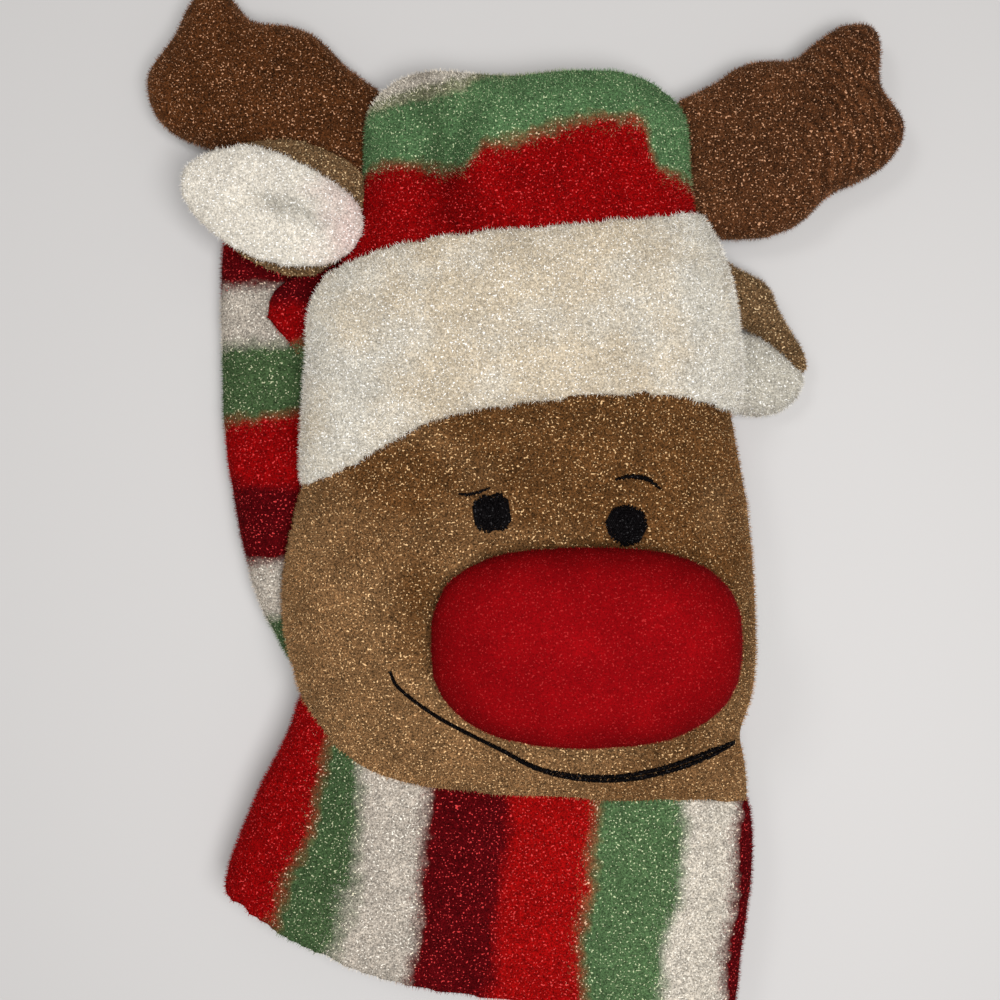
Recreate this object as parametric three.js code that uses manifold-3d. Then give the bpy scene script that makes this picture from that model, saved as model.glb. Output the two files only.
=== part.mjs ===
// Christmas mitten for an adult's hand, sewn from fleece: a reindeer's head in a striped hat.
// It lies palm down. +Y points to the fingertips, +Z up, and the origin is on the palm's flat underside.
import * as THREE from 'three';
import { mergeVertices } from 'three/addons/utils/BufferGeometryUtils.js';
import Module from 'manifold-3d';

const wasm = await Module();
wasm.setup();

// Driving dimensions, in millimetres.
const gap = 0.3; // between sewn pieces
const wall = 2.5; // fleece of the hand
const cuffWall = 3;
const handLength = 191; // from the wrist line to the fingertips
const handWidth = 126; // across the cheeks
const handHeight = 34; // top of the hand above the table, without the face's padding
const originToWrist = 60;
const seamHeight = 15; // side seam above the table
const palmSag = 6; // how much of the palm's round the table flattens
const tipRound = 16; // how far the fingertips take to close
const facePuff = 4; // padding of the face over the wrist
const cheekLift = 24; // how far the wrist seam climbs at the thumb's side
const seamSlant = 3; // how far it drops at the other side
const pinchDepth = 1.6; // the wrist seam's groove
const pinchWidth = 4.5;
const cuffLength = 55; // from the wrist line to the middle of the hem
const cuffFlare = 11;
const cuffTaper = 5;
const hemSlant = 10;
const hemLift = 17; // how far the hem's corner climbs at the thumb's side
const bandThickness = 4.5;
const lobeDepth = 21; // fold of the palm that shows between thumb and hat
const lobeLength = 14;
const lobeHeight = 10; // side seam above the thumb there
const thumbLength = 132;
const thumbReach = 80.5; // outer edge of the thumb from the middle of the palm
const thumbWidth = 28;
const thumbHeight = 12;
const thumbBaseHeight = 15;
const thumbRound = 11;
const crotchToTip = 46;
const tipToThumbTip = 34; // how far the thumb ends below the fingertips
const nestRun = 16; // the palm comes down to the table beside the thumb within this
const noseWidth = 76;
const noseLength = 50;
const noseHeight = 20; // above the face
const noseDepth = 12; // padding below the nose's widest line
const eyeWidth = 9.6;
const eyeHeight = 1.2;
const mouthWidth = 2.2;
const antlerLength = 62;
const antlerWidth = 54;
const antlerThickness = 18;
const antlerLift = 0.6; // under the antlers' round
const earLength = 52;
const earWidth = 36;
const earThickness = 5; // of each of its two layers
const earLie = 17; // underside of the thumb-side ear, which lies over the antler
const foldedEarLength = 23;
const foldedEarWidth = 50;
const foldedEarThickness = 12;

const wristY = -originToWrist;
const tipY = wristY + handLength;
const sectionFullness = 2.5; // 2 is an ellipse, more is squarer
const bend = 2 / sectionFullness;
const clamp = THREE.MathUtils.clamp;
const smoothstep = THREE.MathUtils.smoothstep;
const lerp = THREE.MathUtils.lerp;

// Tables. The column at is the running share, from the wrist line to the fingertips.
// left and right are shares of handWidth from the middle, top is a share of handHeight,
// and overThumb says how far the side seam has climbed over the thumb.
const handSections = [
  { at: 0.0, left: -0.543, right: 0.487, top: 0.8, overThumb: 0 },
  { at: 0.065, left: -0.49, right: 0.49, top: 0.86, overThumb: 0 },
  { at: 0.126, left: -0.465, right: 0.496, top: 0.92, overThumb: 0 },
  { at: 0.19, left: -0.49, right: 0.497, top: 0.97, overThumb: 0 },
  { at: 0.26, left: -0.504, right: 0.493, top: 1.0, overThumb: 0 },
  { at: 0.32, left: -0.494, right: 0.487, top: 1.0, overThumb: 0 },
  { at: 0.4, left: -0.468, right: 0.475, top: 0.97, overThumb: 0.1 },
  { at: 0.47, left: -0.44, right: 0.455, top: 0.91, overThumb: 0.5 },
  { at: 0.55, left: -0.428, right: 0.436, top: 0.86, overThumb: 1 },
  { at: 0.65, left: -0.42, right: 0.42, top: 0.83, overThumb: 1 },
  { at: 0.72, left: -0.385, right: 0.4, top: 0.81, overThumb: 0.9 },
  { at: 0.77, left: -0.343, right: 0.378, top: 0.79, overThumb: 0.45 },
  { at: 0.84, left: -0.332, right: 0.357, top: 0.77, overThumb: 0 },
  { at: 1.0, left: -0.33, right: 0.355, top: 0.72, overThumb: 0 },
];
// The cuff, from the wrist line (0) to its hem (1): shares of cuffFlare, cuffTaper and handHeight.
const cuffSections = [
  { at: 0.0, flare: 0.0, taper: 0.0, top: 0.8 },
  { at: 0.2, flare: 0.5, taper: -0.15, top: 0.79 },
  { at: 0.45, flare: 0.95, taper: 0.0, top: 0.78 },
  { at: 0.75, flare: 1.0, taper: 0.45, top: 0.75 },
  { at: 1.2, flare: 0.9, taper: 1.0, top: 0.68 },
];
// Dents and folds of the upper side: across is -1 at the thumb's side and 1 at the other,
// along a share of handLength, depth of handHeight, wide of handWidth and long of handLength.
const folds = [
  { across: -0.3, along: 0.95, depth: 0.13, wide: 0.07, long: 0.08 }, // gather in the hat's tip
  { across: -0.55, along: 0.88, depth: 0.07, wide: 0.05, long: 0.06 },
  { across: 0.45, along: 0.93, depth: 0.06, wide: 0.08, long: 0.05 },
  { across: -0.45, along: 0.42, depth: 0.05, wide: 0.12, long: 0.05 }, // brow under the band
  { across: -0.62, along: 0.2, depth: -0.05, wide: 0.12, long: 0.07 }, // cheek
  { across: 0.0, along: -0.1, depth: 0.05, wide: 0.05, long: 0.1 }, // cuff
  { across: -0.6, along: -0.12, depth: 0.07, wide: 0.06, long: 0.1 },
];
// Lower and upper edge of the hat's band, as shares of handLength from the wrist line.
const bandEdges = [
  { at: -1.0, lower: 0.415, upper: 0.713 },
  { at: -0.7, lower: 0.448, upper: 0.745 },
  { at: -0.35, lower: 0.502, upper: 0.757 },
  { at: 0.0, lower: 0.528, upper: 0.768 },
  { at: 0.5, lower: 0.542, upper: 0.782 },
  { at: 1.0, lower: 0.518, upper: 0.8 },
];
// The thumb from its base in the hand (0) to its tip (1). inward is how far its outer edge
// stays inside thumbReach, as a share of thumbWidth, and base how much of it has the base's height.
const thumbSections = [
  { at: 0.0, inward: 0.86, base: 1 },
  { at: 0.11, inward: 0.5, base: 1 },
  { at: 0.25, inward: 0.26, base: 1 },
  { at: 0.36, inward: 0.16, base: 0.9 },
  { at: 0.5, inward: 0.05, base: 0.6 },
  { at: 0.62, inward: 0.0, base: 0.2 },
  { at: 1.0, inward: 0.0, base: 0 },
];
// The smile, as shares of half of handWidth and of handLength from the wrist line.
const smilePoints = [
  { across: -0.53, along: 0.173 },
  { across: -0.489, along: 0.149 },
  { across: -0.329, along: 0.11 },
  { across: -0.087, along: 0.068 },
  { across: 0.09, along: 0.04 },
  { across: 0.314, along: 0.031 },
  { across: 0.554, along: 0.042 },
  { across: 0.856, along: 0.076 },
];
// Outlines of the antlers: out is a share of antlerLength from the hat's side,
// up a share of antlerWidth from the lower end of the root.
const leftAntler = [
  { out: -0.12, up: 0.02 },
  { out: 0.12, up: 0.04 },
  { out: 0.45, up: 0.13 },
  { out: 0.71, up: 0.22 },
  { out: 0.8, up: 0.26 },
  { out: 0.88, up: 0.32 },
  { out: 0.93, up: 0.41 },
  { out: 0.96, up: 0.51 },
  { out: 0.95, up: 0.6 },
  { out: 0.89, up: 0.69 },
  { out: 0.82, up: 0.79 },
  { out: 0.79, up: 0.88 },
  { out: 0.75, up: 0.96 },
  { out: 0.66, up: 1.03 },
  { out: 0.57, up: 0.95 },
  { out: 0.53, up: 0.88 },
  { out: 0.5, up: 0.84 },
  { out: 0.39, up: 0.84 },
  { out: 0.28, up: 0.81 },
  { out: 0.18, up: 0.74 },
  { out: 0.1, up: 0.64 },
  { out: 0.0, up: 0.55 },
  { out: -0.12, up: 0.45 },
];
const rightAntler = [
  { out: -0.12, up: 0.0 },
  { out: 0.05, up: -0.01 },
  { out: 0.2, up: -0.01 },
  { out: 0.31, up: 0.0 },
  { out: 0.43, up: 0.04 },
  { out: 0.5, up: 0.11 },
  { out: 0.55, up: 0.18 },
  { out: 0.6, up: 0.23 },
  { out: 0.67, up: 0.25 },
  { out: 0.75, up: 0.3 },
  { out: 0.83, up: 0.36 },
  { out: 0.88, up: 0.44 },
  { out: 0.91, up: 0.53 },
  { out: 0.9, up: 0.6 },
  { out: 0.85, up: 0.67 },
  { out: 0.8, up: 0.76 },
  { out: 0.8, up: 0.87 },
  { out: 0.8, up: 0.98 },
  { out: 0.77, up: 1.05 },
  { out: 0.69, up: 1.08 },
  { out: 0.61, up: 1.05 },
  { out: 0.55, up: 1.0 },
  { out: 0.48, up: 0.94 },
  { out: 0.44, up: 0.88 },
  { out: 0.35, up: 0.88 },
  { out: 0.24, up: 0.87 },
  { out: 0.16, up: 0.84 },
  { out: 0.07, up: 0.75 },
  { out: -0.05, up: 0.69 },
  { out: -0.12, up: 0.68 },
];
// The ear at the other side is folded, so its back shows above and its front below.
// Shares of foldedEarLength from the hat's side and of foldedEarWidth from its lower end.
const foldedEarBack = [
  { out: -0.4, up: 0.5 },
  { out: 0.0, up: 0.5 },
  { out: 0.33, up: 0.45 },
  { out: 0.62, up: 0.37 },
  { out: 0.9, up: 0.24 },
  { out: 0.985, up: 0.29 },
  { out: 0.86, up: 0.44 },
  { out: 0.4, up: 0.7 },
  { out: -0.1, up: 0.9 },
  { out: -0.4, up: 0.9 },
];
const foldedEarFront = [
  { out: -0.3, up: 0.1 },
  { out: 0.15, up: 0.02 },
  { out: 0.44, up: 0.0 },
  { out: 0.72, up: 0.05 },
  { out: 0.9, up: 0.15 },
  { out: 0.95, up: 0.26 },
  { out: 0.62, up: 0.42 },
  { out: 0.2, up: 0.5 },
  { out: -0.3, up: 0.5 },
];

// A smooth curve through one column of a table, read at a running share.
function curveOf(rows, column) {
  const last = rows.length - 1;
  const slope = (index) => {
    const before = rows[Math.max(index - 1, 0)];
    const after = rows[Math.min(index + 1, last)];
    return (after[column] - before[column]) / (after.at - before.at);
  };
  return (share) => {
    const at = clamp(share, rows[0].at, rows[last].at);
    let index = 0;
    while (index < last - 1 && at > rows[index + 1].at) index += 1;
    const span = rows[index + 1].at - rows[index].at;
    const t = (at - rows[index].at) / span;
    return (
      rows[index][column] * (1 + 2 * t) * (1 - t) ** 2 +
      rows[index + 1][column] * t ** 2 * (3 - 2 * t) +
      span * t * (1 - t) * (slope(index) * (1 - t) - slope(index + 1) * t)
    );
  };
}

const handCurves = {
  left: curveOf(handSections, 'left'),
  right: curveOf(handSections, 'right'),
  top: curveOf(handSections, 'top'),
  overThumb: curveOf(handSections, 'overThumb'),
};
const cuffCurves = {
  flare: curveOf(cuffSections, 'flare'),
  taper: curveOf(cuffSections, 'taper'),
  top: curveOf(cuffSections, 'top'),
};

// Edges and heights of the whole body, hand and cuff, at a place along it.
function sectionAt(y) {
  const share = (y - wristY) / handLength;
  const down = (wristY - y) / cuffLength;
  const inCuff = y < wristY;
  return {
    left: handCurves.left(share) * handWidth - (inCuff ? cuffFlare * cuffCurves.flare(down) : 0),
    right: handCurves.right(share) * handWidth - (inCuff ? cuffTaper * cuffCurves.taper(down) : 0),
    top: handHeight * (inCuff ? cuffCurves.top(down) : handCurves.top(share)),
    leftSeam: lerp(seamHeight, thumbHeight + lobeHeight, handCurves.overThumb(share)),
  };
}

// The wrist seam and the hem run across at an angle and climb at the thumb's side (across -1).
function wristSeam(across) {
  return wristY + cheekLift * ((1 - across) / 2) ** 5 - seamSlant * ((1 + across) / 2) ** 2;
}

function hemLine(across) {
  return wristY - cuffLength - hemSlant * across + hemLift * ((1 - across) / 2) ** 4;
}

function foldDepth(across, y) {
  let depth = 0;
  for (const fold of folds) {
    const aside = ((across - fold.across) / 2) * handWidth;
    const away = y - wristY - fold.along * handLength;
    const near = (aside / (fold.wide * handWidth)) ** 2 + (away / (fold.long * handLength)) ** 2;
    depth += fold.depth * handHeight * Math.exp(-near);
  }
  return depth;
}

const crotchY = tipY - tipToThumbTip - crotchToTip;
const thumbTipY = tipY - tipToThumbTip;
const lobeY = crotchY + lobeLength * 1.4;

// The palm stays this far above the table where it lies over the thumb.
function nestHeight(x, y) {
  const innerEdge = thumbWidth - thumbReach;
  const beside = 1 - smoothstep(x, innerEdge, innerEdge + nestRun);
  const start = smoothstep(y, crotchY - nestRun * 2, crotchY - nestRun / 2);
  const end = 1 - smoothstep(y, thumbTipY + gap, thumbTipY + nestRun);
  return (thumbHeight + gap) * beside * start * end;
}

// A point of the body's skin. side is 1 above the side seams and -1 below, angle runs from 0 at
// the right seam to PI at the left one, closing from 1 to 0 at the fingertips, grow is outwards,
// and split opens the seam.
function bodyPoint(side, angle, y, closing, grow, split = 0) {
  const section = sectionAt(y);
  const across = Math.cos(angle);
  const reach = Math.sign(across) * Math.abs(across) ** bend;
  const round = Math.sin(angle) ** bend * closing;
  const narrowing = 1 - 0.25 * (1 - closing);
  const half = ((section.right - section.left) / 2) * narrowing;
  const seam = lerp(section.leftSeam, seamHeight, (1 + across) / 2) + side * split;
  const x = (section.left + section.right) / 2 + half * reach;
  if (side > 0) {
    const fromSeam = y - wristSeam(across);
    const puff = facePuff * smoothstep(fromSeam, 0, cheekLift / 2);
    const pinch = pinchDepth * Math.exp(-((fromSeam / pinchWidth) ** 2));
    const rise = section.top - seam + puff - pinch - foldDepth(across, y) + grow;
    return new THREE.Vector3(x + grow * reach, y, seam + rise * round);
  }
  const lobe = Math.exp(-(((y - lobeY) / lobeLength) ** 4)) * Math.sin(Math.PI * Math.sin(angle) ** 0.6);
  const aside = x - (across < 0 ? lobeDepth * lobe * closing : 0);
  const table = lerp(seam, nestHeight(aside, y), Math.min(1, closing * 3));
  const z = Math.max(seam - (seam + palmSag + grow) * round, Math.min(seam, table - grow));
  return new THREE.Vector3(aside + grow * reach, y, z);
}

const joinY = wristY + 0.65 * handLength; // where face and crown meet, under the band
const panelColumns = 20;
const cuffRows = 6;
const faceRows = 13;
const crownRows = 5;
const tipRows = 5;
const handRows = faceRows + crownRows + tipRows;

// All panels share these rows, so their seams match: steps count up from the wrist seam to the tip.
function handRow(step, across, grow) {
  if (step <= faceRows) {
    return { y: lerp(wristSeam(across) + gap / 2, joinY, step / faceRows), closing: 1 };
  }
  if (step <= faceRows + crownRows) {
    return { y: lerp(joinY, tipY - tipRound, (step - faceRows) / crownRows), closing: 1 };
  }
  const turn = (((step - faceRows - crownRows) / tipRows) * Math.PI) / 2;
  return { y: tipY - tipRound + (tipRound + grow) * Math.sin(turn), closing: Math.cos(turn) };
}

// Height of the face's skin over a place.
function faceHeight(x, y) {
  const section = sectionAt(y);
  const half = (section.right - section.left) / 2;
  const aside = clamp((x - (section.left + section.right) / 2) / half, -0.99, 0.99);
  const across = Math.sign(aside) * Math.abs(aside) ** (1 / bend);
  return bodyPoint(1, Math.acos(across), y, 1, 0).z;
}

function facingOut(geometry) {
  const at = geometry.attributes.position;
  const index = geometry.index.array;
  const [a, b, c] = [new THREE.Vector3(), new THREE.Vector3(), new THREE.Vector3()];
  let volume = 0;
  for (let i = 0; i < index.length; i += 3) {
    a.fromBufferAttribute(at, index[i]);
    b.fromBufferAttribute(at, index[i + 1]);
    c.fromBufferAttribute(at, index[i + 2]);
    volume += a.dot(b.cross(c));
  }
  if (volume < 0) {
    for (let i = 0; i < index.length; i += 3) [index[i], index[i + 1]] = [index[i + 1], index[i]];
  }
  return geometry;
}

function geometryFrom(points, triangles) {
  const geometry = new THREE.BufferGeometry();
  geometry.setAttribute('position', new THREE.Float32BufferAttribute(points.flatMap((p) => p.toArray()), 3));
  geometry.setIndex(triangles);
  return facingOut(mergeVertices(geometry, 1e-4));
}

// A cloth wall between two skins. pointAt(u, v, skin) gives the outer skin for 0, the inner for 1.
function wallGeometry(columns, rows, pointAt, closed = false) {
  const points = [];
  const triangles = [];
  const wide = closed ? columns : columns + 1;
  const id = (i, j, skin) => (j * wide + (i % wide)) * 2 + skin;
  for (let j = 0; j <= rows; j += 1) {
    for (let i = 0; i < wide; i += 1) {
      points.push(pointAt(i / columns, j / rows, 0), pointAt(i / columns, j / rows, 1));
    }
  }
  const quad = (a, b, c, d) => triangles.push(a, b, c, a, c, d);
  for (let j = 0; j < rows; j += 1) {
    for (let i = 0; i < columns; i += 1) {
      quad(id(i, j, 0), id(i + 1, j, 0), id(i + 1, j + 1, 0), id(i, j + 1, 0));
      quad(id(i, j, 1), id(i, j + 1, 1), id(i + 1, j + 1, 1), id(i + 1, j, 1));
    }
    if (!closed) {
      quad(id(0, j, 0), id(0, j + 1, 0), id(0, j + 1, 1), id(0, j, 1));
      quad(id(columns, j, 0), id(columns, j, 1), id(columns, j + 1, 1), id(columns, j + 1, 0));
    }
  }
  for (let i = 0; i < columns; i += 1) {
    quad(id(i, 0, 0), id(i, 0, 1), id(i + 1, 0, 1), id(i + 1, 0, 0));
    quad(id(i, rows, 0), id(i + 1, rows, 0), id(i + 1, rows, 1), id(i, rows, 1));
  }
  return geometryFrom(points, triangles);
}

// A closed skin round the Y axis, with its two ends fanned shut. pointAt(u, v) gives the skin.
function tubeGeometry(columns, rows, pointAt) {
  const points = [];
  const triangles = [];
  const id = (i, j) => j * columns + (i % columns);
  for (let j = 0; j <= rows; j += 1) {
    for (let i = 0; i < columns; i += 1) points.push(pointAt(i / columns, j / rows));
  }
  for (let j = 0; j < rows; j += 1) {
    for (let i = 0; i < columns; i += 1) {
      triangles.push(id(i, j), id(i + 1, j), id(i + 1, j + 1), id(i, j), id(i + 1, j + 1), id(i, j + 1));
    }
  }
  for (const j of [0, rows]) {
    const middle = new THREE.Vector3();
    for (let i = 0; i < columns; i += 1) middle.addScaledVector(points[id(i, j)], 1 / columns);
    const hub = points.push(middle) - 1;
    for (let i = 0; i < columns; i += 1) {
      triangles.push(...(j === 0 ? [hub, id(i + 1, j), id(i, j)] : [hub, id(i, j), id(i + 1, j)]));
    }
  }
  return geometryFrom(points, triangles);
}

// A stuffed pad: rings from the middle of an outline to its edge, domed above and below.
function padGeometry(sides, rings, outlineAt, middle, heightAt) {
  const points = [middle.clone().setZ(heightAt(0, 1, middle)), middle.clone().setZ(heightAt(0, -1, middle))];
  const triangles = [];
  const spot = new THREE.Vector3();
  for (const side of [1, -1]) {
    for (let j = 1; j <= rings; j += 1) {
      const share = Math.sin(((j / rings) * Math.PI) / 2);
      for (let i = 0; i < sides; i += 1) {
        spot.lerpVectors(middle, outlineAt(i / sides), share);
        points.push(spot.clone().setZ(heightAt(share, side, spot)));
      }
    }
  }
  const id = (i, j, side) => 2 + (side < 0 ? rings * sides : 0) + (j - 1) * sides + (i % sides);
  for (const side of [1, -1]) {
    for (let i = 0; i < sides; i += 1) {
      const pole = side > 0 ? 0 : 1;
      const fan = [pole, id(i, 1, side), id(i + 1, 1, side)];
      triangles.push(...(side > 0 ? fan : fan.reverse()));
      for (let j = 1; j < rings; j += 1) {
        const [a, b] = [id(i, j, side), id(i + 1, j, side)];
        const [c, d] = [id(i + 1, j + 1, side), id(i, j + 1, side)];
        triangles.push(...(side > 0 ? [a, d, c, a, c, b] : [a, c, d, a, b, c]));
      }
    }
  }
  return geometryFrom(points, triangles);
}

function solidOf(geometry) {
  const bare = geometry.clone();
  bare.deleteAttribute('normal');
  bare.deleteAttribute('uv');
  const merged = mergeVertices(bare, 1e-4);
  return new wasm.Manifold(
    new wasm.Mesh({
      numProp: 3,
      vertProperties: new Float32Array(merged.attributes.position.array),
      triVerts: new Uint32Array(merged.index.array),
    }),
  );
}

function geometryOf(solid) {
  const mesh = solid.getMesh();
  const geometry = new THREE.BufferGeometry();
  geometry.setAttribute('position', new THREE.BufferAttribute(new Float32Array(mesh.vertProperties), 3));
  geometry.setIndex(new THREE.BufferAttribute(new Uint32Array(mesh.triVerts), 1));
  return geometry;
}

// The piece that is left of a solid after a cut, without crumbs.
function largestOf(solid) {
  return solid.decompose().sort((a, b) => b.volume() - a.volume())[0];
}

// The whole body as one block, grown outwards: what the other pieces are fitted to.
function bodySolid(grow) {
  return solidOf(
    tubeGeometry(panelColumns * 2, cuffRows + handRows, (u, v) => {
      const turn = u * 2 * Math.PI;
      const side = turn <= Math.PI ? 1 : -1;
      const angle = side > 0 ? turn : 2 * Math.PI - turn;
      const across = Math.cos(angle);
      const step = Math.round(v * (cuffRows + handRows));
      if (step < cuffRows) {
        return bodyPoint(side, angle, lerp(hemLine(across), wristSeam(across), step / cuffRows), 1, grow);
      }
      const row = handRow(step - cuffRows, across, grow);
      return bodyPoint(side, angle, row.y, Math.max(row.closing, 0.02), grow);
    }),
  );
}

function splineOutline(table, placeAt) {
  const curve = new THREE.CatmullRomCurve3(table.map(placeAt), true, 'centripetal');
  return (t) => curve.getPoint(t);
}

// Hand: the palm below the side seams, the face and the hat's crown above them.
function handPanel(side, firstStep, lastStep) {
  return wallGeometry(panelColumns, lastStep - firstStep, (u, v, skin) => {
    const grow = skin ? -wall : 0;
    const angle = u * Math.PI;
    const step = Math.round(lerp(firstStep, lastStep, v));
    const row = handRow(step, Math.cos(angle), grow);
    const joined = step === faceRows && lastStep - firstStep < handRows;
    const y = row.y + (joined ? (step === firstStep ? gap / 2 : -gap / 2) : 0);
    return bodyPoint(side, angle, y, row.closing, grow, gap / 2);
  });
}

const palmPanel = handPanel(-1, 0, handRows);
const face = handPanel(1, 0, faceRows);
const crown = handPanel(1, faceRows, handRows);
const bodyFit = bodySolid(gap * 1.5); // where its skin slopes it lies closer than it has grown

// Hat band: a thick folded strip over the join, thin at its rolled edges.
const bandLower = curveOf(bandEdges, 'lower');
const bandUpper = curveOf(bandEdges, 'upper');
const bandPanel = (grow) =>
  wallGeometry(panelColumns, 6, (u, v, skin) => {
    const angle = u * Math.PI;
    const across = Math.cos(angle);
    const roll = (1 - Math.abs(2 * v - 1) ** 3) ** 0.5;
    const bulge = skin ? 0 : bandThickness * lerp(0.35, 1, roll) + grow;
    const share = lerp(bandLower(across), bandUpper(across), v);
    const y = wristY + handLength * share + grow * (2 * v - 1);
    const point = bodyPoint(1, angle, y, 1, gap + bulge);
    point.z += gap / 2 - grow;
    return point;
  });
const raisedPalm = solidOf(palmPanel).translate([0, 0, gap * 1.5]); // for what lies on its fold
const dressedFit = bodyFit.add(solidOf(palmPanel)).add(raisedPalm).add(solidOf(bandPanel(gap)));

// Wrist cuff: an open tube with a slanting hem.
const cuff = wallGeometry(
  panelColumns * 2,
  cuffRows,
  (u, v, skin) => {
    const turn = u * 2 * Math.PI;
    const side = turn <= Math.PI ? 1 : -1;
    const angle = side > 0 ? turn : 2 * Math.PI - turn;
    const across = Math.cos(angle);
    const y = lerp(wristSeam(across) - gap / 2, hemLine(across), v);
    return bodyPoint(side, angle, y, 1, skin ? -cuffWall : 0);
  },
  true,
);

// Thumb: a closed tube beside and under the hand, open into it through a hole in the palm.
const thumbCurves = { inward: curveOf(thumbSections, 'inward'), base: curveOf(thumbSections, 'base') };
const thumbBaseY = thumbTipY - thumbLength;

function thumbSkin(grow, extra) {
  const rows = 12;
  const endRows = 3;
  return tubeGeometry(14, rows + endRows, (u, v) => {
    const step = Math.round(v * (rows + endRows));
    const bendAngle = step > rows ? (((step - rows) / endRows) * Math.PI) / 2 : 0;
    const closing = Math.max(Math.cos(bendAngle), 0.03);
    const y =
      step > rows
        ? thumbTipY - thumbRound + (thumbRound + grow) * Math.sin(bendAngle)
        : lerp(thumbBaseY - extra, thumbTipY - thumbRound, step / rows);
    const share = (y - thumbBaseY) / thumbLength;
    const left = -thumbReach + thumbWidth * thumbCurves.inward(share);
    const half = (thumbWidth / 2 + grow) * closing;
    const height = lerp(thumbHeight, thumbBaseHeight, thumbCurves.base(share));
    const turn = u * 2 * Math.PI;
    const x = left + thumbWidth / 2 + half * Math.sign(Math.cos(turn)) * Math.abs(Math.cos(turn)) ** bend;
    const rise = Math.sign(Math.sin(turn)) * Math.abs(Math.sin(turn)) ** bend;
    const z = height / 2 + (height / 2 + grow) * rise * (rise > 0 ? closing : Math.min(1, closing * 1.6));
    return new THREE.Vector3(x, y, z);
  });
}

const thumbInside = solidOf(thumbSkin(-wall, wall * 2));
const aboveCrotch = new THREE.BoxGeometry(handWidth * 2, handLength, handLength);
aboveCrotch.translate(0, crotchY + handLength / 2, 0);
const fingersOnly = solidOf(aboveCrotch);
const keptWall = bodySolid(gap * 1.5 + wall).intersect(fingersOnly);
const thumbHollow = thumbInside.subtract(keptWall);
const loweredPalm = solidOf(palmPanel).translate([0, 0, -gap]); // its fold lies on the thumb
const thumb = largestOf(
  solidOf(thumbSkin(0, 0)).subtract(thumbHollow).subtract(bodyFit).subtract(loweredPalm),
);
const palm = largestOf(solidOf(palmPanel).subtract(thumbInside.subtract(fingersOnly)));

// Nose: a stuffed oval, flattened underneath by the face.
function ovalOutline(centre, width, length, fullness) {
  return (t) => {
    const [c, s] = [Math.cos(t * 2 * Math.PI), Math.sin(t * 2 * Math.PI)];
    return new THREE.Vector3(
      centre.x + (width / 2) * Math.sign(c) * Math.abs(c) ** (2 / fullness),
      centre.y + (length / 2) * Math.sign(s) * Math.abs(s) ** (2 / fullness),
      0,
    );
  };
}

const noseCentre = new THREE.Vector3(handWidth * 0.13, wristY + handLength * 0.208, 0);
const noseMiddleHeight = faceHeight(noseCentre.x, noseCentre.y) + noseHeight * 0.2;
const nosePad = padGeometry(
  24,
  5,
  ovalOutline(noseCentre, noseWidth, noseLength, 2.35),
  noseCentre,
  (share, side) => {
    const dome = (1 - share ** 2.3) ** 0.5;
    return noseMiddleHeight + (side > 0 ? noseHeight * 0.8 : -noseDepth) * dome;
  },
);
const nose = largestOf(solidOf(nosePad).subtract(bodyFit));

// Eyes and smile: raised satin stitch on the face.
function eyeSolid(aside, along) {
  const centre = new THREE.Vector3(handWidth * aside, wristY + handLength * along, 0);
  const pad = padGeometry(12, 2, ovalOutline(centre, eyeWidth, eyeWidth, 2.2), centre, (share, side, spot) => {
    const dome = (1 - share ** 3) ** 0.5;
    return faceHeight(spot.x, spot.y) + gap + eyeHeight * (0.3 + dome * (side > 0 ? 0.7 : -1));
  });
  return largestOf(solidOf(pad).subtract(bodyFit));
}

const smile = new THREE.CatmullRomCurve3(
  smilePoints.map((row) => {
    const x = (row.across * handWidth) / 2;
    const y = wristY + row.along * handLength;
    return new THREE.Vector3(x, y, faceHeight(x, y) + gap + mouthWidth * 0.15);
  }),
);
const threadSection = new THREE.Shape().absellipse(0, 0, mouthWidth / 2, mouthWidth / 2, 0, 2 * Math.PI);
const mouthTube = new THREE.ExtrudeGeometry(threadSection, {
  steps: 18,
  curveSegments: 3,
  bevelEnabled: false,
  extrudePath: smile,
});
const mouth = largestOf(solidOf(mouthTube).subtract(bodyFit));

// Antlers: stuffed, lying on the table, sewn into the sides of the hat's crown.
function antlerSkin(table, side, rootY, grow) {
  const edge = side < 0 ? sectionAt(rootY).left : sectionAt(rootY).right;
  const place = (row) =>
    new THREE.Vector3(edge + side * row.out * antlerLength, rootY + row.up * antlerWidth, 0);
  const middle = place({ out: 0.52, up: 0.48 });
  const outline = splineOutline(table, place);
  const half = antlerThickness / 2;
  const grown = (t) => {
    const point = outline(t);
    return point.add(point.clone().sub(middle).setLength(grow));
  };
  return padGeometry(36, 4, grown, middle, (share, up) => {
    return antlerLift + half + up * (half + grow) * (1 - share ** 3) ** 0.45;
  });
}

const leftAntlerRoot = wristY + handLength * 0.838;
const rightAntlerRoot = wristY + handLength * 0.772;
const antlerLeft = largestOf(solidOf(antlerSkin(leftAntler, -1, leftAntlerRoot, 0)).subtract(dressedFit));
const antlerRight = largestOf(solidOf(antlerSkin(rightAntler, 1, rightAntlerRoot, 0)).subtract(dressedFit));
const antlerLeftFit = solidOf(antlerSkin(leftAntler, -1, leftAntlerRoot, gap));
const antlerRightFit = solidOf(antlerSkin(rightAntler, 1, rightAntlerRoot, gap));

// Thumb-side ear: two flat almond layers, the back a little wider than the front.
const earPoint = Math.PI - 0.3; // the way it points

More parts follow.
